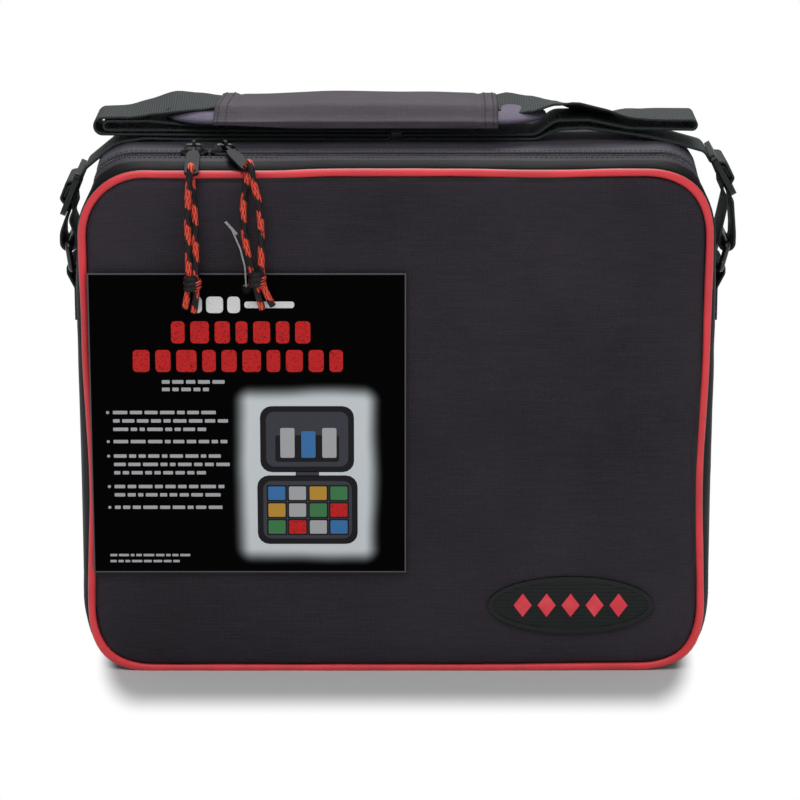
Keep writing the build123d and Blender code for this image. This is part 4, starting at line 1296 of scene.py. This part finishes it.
# ---- Pockets inside the lid ----
def pocket(name, node, x, z, wall_y, depth):
    """A pocket of light mesh cloth, held off the lid's floor by its sides and bottom."""
    bm = bmesh.new()
    bmesh.ops.create_grid(bm, x_segments=24, y_segments=18, size=1.0)
    width, height = x[1] - x[0], z[1] - z[0]
    for vert in bm.verts:
        a, b = vert.co.x, vert.co.y
        side = min(1 - abs(a), 1.0)
        low = min(1 + b, 1.0)
        lift = min(side * width / 2 / depth, 1.0) * min(low * height / depth, 1.0)
        belly = (1 - a * a) * (0.5 + 0.5 * b) * 0.9 * MM
        y = wall_y + depth * sqrt(max(1 - (1 - lift) ** 2, 0.0)) + belly * 0.4
        vert.co = Vector((x[0] + width * (a + 1) / 2, y, z[0] + height * (b + 1) / 2))
    bmesh.ops.recalc_face_normals(bm, faces=bm.faces)
    lay_cloth(bm)
    piece(name, bm, "lid", "pocket", [node], 0.8 * MM, 0)


def pockets():
    pocket("booklet_pocket", "lid_pocket", (-0.160, 0.160), (0.040, 0.214), LID_FLOOR * MM, 5.4 * MM)
    for number in range(1, 5):
        middle = (number - 2.5) * 79 * MM
        sides = (middle - 0.037, middle + 0.037)
        pocket(f"card_pocket_cloth_{number}", f"card_pocket_{number}", sides, (0.056, 0.132),
               LID_FLOOR * MM + 6.0 * MM, 4.9 * MM)


# ---- Print on the hang tag ----
TAG_FRONT = -68.2 * MM


INKS = {
    "red": (tone(206, 40, 40), 0.8), "white": (tone(226, 226, 226), 0.3), "grey": (tone(176, 176, 178), 0.0),
    "green": (tone(70, 130, 80), 0.2), "blue": (tone(64, 120, 176), 0.2), "amber": (tone(196, 150, 60), 0.2),
    "dark": (tone(30, 29, 33), 0.0), "slate": (tone(66, 66, 74), 0.1),
}


def bar(bm, kind, x0, z0, x1, z1, radius, layer=0):
    """A printed block with rounded corners, in millimetres, in the tag's plane."""
    depth = TAG_FRONT - (0.03 + 0.03 * layer) * MM
    place = Matrix.Translation(((x0 + x1) / 2 * MM, depth, (z0 + z1) / 2 * MM))
    shape = Matrix.Rotation(radians(90), 4, "X") @ Matrix.Diagonal(((x1 - x0) * MM, (z1 - z0) * MM, 1, 1))
    rounded_face(bm, place @ shape, radius * MM, 4).material_index = list(INKS).index(kind)


def words(bm, x, z, height, end, seed):
    """A line of plain grey blocks, as long as words are, up to an end."""
    dice = Random(seed)
    while True:
        width = height * dice.uniform(1.4, 4.4)
        if x + width > end:
            return
        bar(bm, "grey", x, z, x + width, z + height, height * 0.2)
        x += width + height * 0.7


def printed_case(bm):
    """A small plain picture of an open case: pockets in the lid, and a tray of coloured cards below."""
    for block in (("dark", -81, 128, -25, 169, 7, 1), ("slate", -77.5, 131.5, -28.5, 165.5, 5, 2),
                  ("dark", -72, 134.5, -34, 151, 1.5, 3)):
        bar(bm, *block)
    for n, kind in enumerate(("grey", "blue", "grey")):
        bar(bm, kind, -69 + 12.5 * n, 137, -60.5 + 12.5 * n, 155.5 - 2 * (n == 1), 1, 4)
    for block in (("slate", -60, 125.5, -46, 128.5, 0.5, 1), ("dark", -83, 83, -23, 126, 7, 1),
                  ("slate", -79.5, 86.5, -26.5, 122.5, 5, 2)):
        bar(bm, *block)
    cards = "green red grey blue amber grey green red blue grey amber green"
    for n, kind in enumerate(cards.split()):
        x, z = -76.5 + 12.4 * (n % 4), 89.5 + 10.6 * (n // 4)
        bar(bm, "dark", x - 0.9, z - 0.9, x + 11.1, z + 9.3, 0.6, 3)
        bar(bm, kind, x, z, x + 10.2, z + 8.4, 0.8, 4)


def tag_print():
    """Plain blocks in place of words, and a small picture in a layout of its own."""
    bm = bmesh.new()
    for x0, z0, x1, z1, radius in ((-120, 226, -114.5, 236, 2.4), (-112, 226, -102, 236, 2.4),
                                   (-99.5, 226, -92, 236, 2.4), (-89.5, 229, -60, 233, 1.6)):
        bar(bm, "white", x0, z0, x1, z1, radius)
    for z, x, widths in ((207.5, -133, (8, 11, 9, 7, 10, 8, 9)),
                         (190.0, -156, (10, 9, 12, 8, 9, 11, 8, 10, 9, 8))):
        for width in widths:
            bar(bm, "red", x, z, x + width, z + 13.5, 2.2)
            x += width + 3.4
    words(bm, -139, 182.8, 2.2, -100, 3)
    words(bm, -139, 178.2, 2.2, -104, 4)
    for n, (lines, z) in enumerate(((3, 164.0), (1, 146.0), (3, 137.0), (2, 118.0), (1, 105.0))):
        bar(bm, "grey", -172.5, z + 0.1, -170.7, z + 1.9, 0.8)
        for line in range(lines):
            words(bm, -168.5, z - 5.2 * line, 2.1, -99 - 6 * (line == 2), 20 + 3 * n + line)
    words(bm, -172, 75.2, 1.5, -122, 40)
    words(bm, -172, 71.4, 1.5, -126, 41)
    printed_case(bm)
    lay_cloth(bm)
    inks = [ink("tag_ink_" + kind, colour, patchy) for kind, (colour, patchy) in INKS.items()]
    piece("tag_print", bm, "tag", inks)


# ---- Finishes of the CAD nodes that stay ----
KEPT = {
    "rubber": ["badge"],
    "red_rubber": ["badge_inlay"],
    "foam": ["front_foam", "rear_foam"],
    "board": ["insert_surround", "insert_floor", "insert_long_divider", "insert_cross_divider_left",
              "insert_cross_divider_right"],
    "card": ["hang_tag"],
    "clear": ["tag_fastener"],
    "metal": ["slider_left", "slider_right", "strap_ring_left", "strap_ring_right"],
    "tab": ["pull_tab_left", "pull_tab_right"],
    "plastic": ["strap_buckle_left", "strap_buckle_right"],
}


def dress_nodes():
    for finish, names in KEPT.items():
        for name in names:
            mesh = frame["nodes"][name].data
            mesh.materials.clear()
            mesh.materials.append(FINISHES[finish])


# ---- Floor, light and camera ----
def floor_finish():
    """White to the camera away from the case, and close to it a darker floor that takes the real shadow; this
    grey patch, shaped round the case's footprint, is itself a painted shadow.
    """
    finish = Finish("pale_floor")
    x, y, _ = finish.parts(finish.place)
    # Painted shadow: the floor is grey near the case and fades to white past a set distance from its
    # footprint.
    beside = (x.size() - 0.150).most(0.0)
    ahead = (y.size() - 0.030).most(0.0)
    shaded, white_from = 0.066, 0.112
    plain = (beside * beside * 10.0 + ahead * ahead).root().soft_step(shaded, white_from)
    seen = finish.rays("Camera", "Glossy", "Transmission")
    lit = finish.node("BsdfDiffuse", {"Color": (0.64, 0.64, 0.64, 1)})
    white = finish.node("Emission", {"Color": (1, 1, 1, 1), "Strength": 1.0})
    return finish.end(finish.node("MixShader", {0: seen * plain, 1: lit, 2: white}))


def stage():
    bm = bmesh.new()
    bmesh.ops.create_grid(bm, x_segments=1, y_segments=1, size=6.0)
    floor = added("floor", as_mesh(bm, "floor"))
    floor.data.materials.append(floor_finish())
    world = bpy.data.worlds.new("studio")
    bpy.context.scene.world = world
    studio = Finish(world, "OutputWorld")
    seen = studio.rays("Camera", "Transmission")
    soft = studio.node("Background", {"Color": (0.93, 0.95, 1.0, 1), "Strength": 0.36})
    white = studio.node("Background", {"Strength": 1.0})
    studio.end(studio.node("MixShader", {0: seen, 1: soft, 2: white}))


def lamp(name, place, aim, size, power):
    light = bpy.data.lights.new(name, "AREA")
    light.size = size
    light.energy = power
    made = added(name, light)
    made.location = place
    made.rotation_euler = (Vector(aim) - Vector(place)).to_track_quat("-Z", "Y").to_euler()


def lamps():
    lamp("key", (-0.4, -1.4, 2.1), (0, 0, 0.15), 1.2, 22)
    lamp("top", (0.1, 0.9, 1.9), (0, 0, 0.25), 1.0, 32)
    lamp("fill", (1.6, -1.5, 0.9), (0, 0, 0.15), 1.4, 5)


def camera():
    """The photograph's view: from the front and 15 degrees above, with a long lens."""
    elevation = radians(15.4)
    distance = 2.047
    aim = Vector((0.0024, -0.06, 0.1705))
    back = Vector((0, -cos(elevation), sin(elevation)))
    data = bpy.data.cameras.new("camera")
    data.sensor_width = 36.0
    data.lens = 154.3
    made = added("camera", data)
    made.location = aim + back * distance
    made.rotation_mode = "QUATERNION"
    made.rotation_quaternion = (-back).to_track_quat("-Z", "Y")
    bpy.context.scene.camera = made


bpy.context.scene.view_settings.view_transform = "Standard"
case_shell()
zip_all()
shell_stitches()
cord_pulls()
shoulder_strap()
pockets()
tag_print()
dress_nodes()
stage()
lamps()
camera()

bpy.context.view_layer.update()
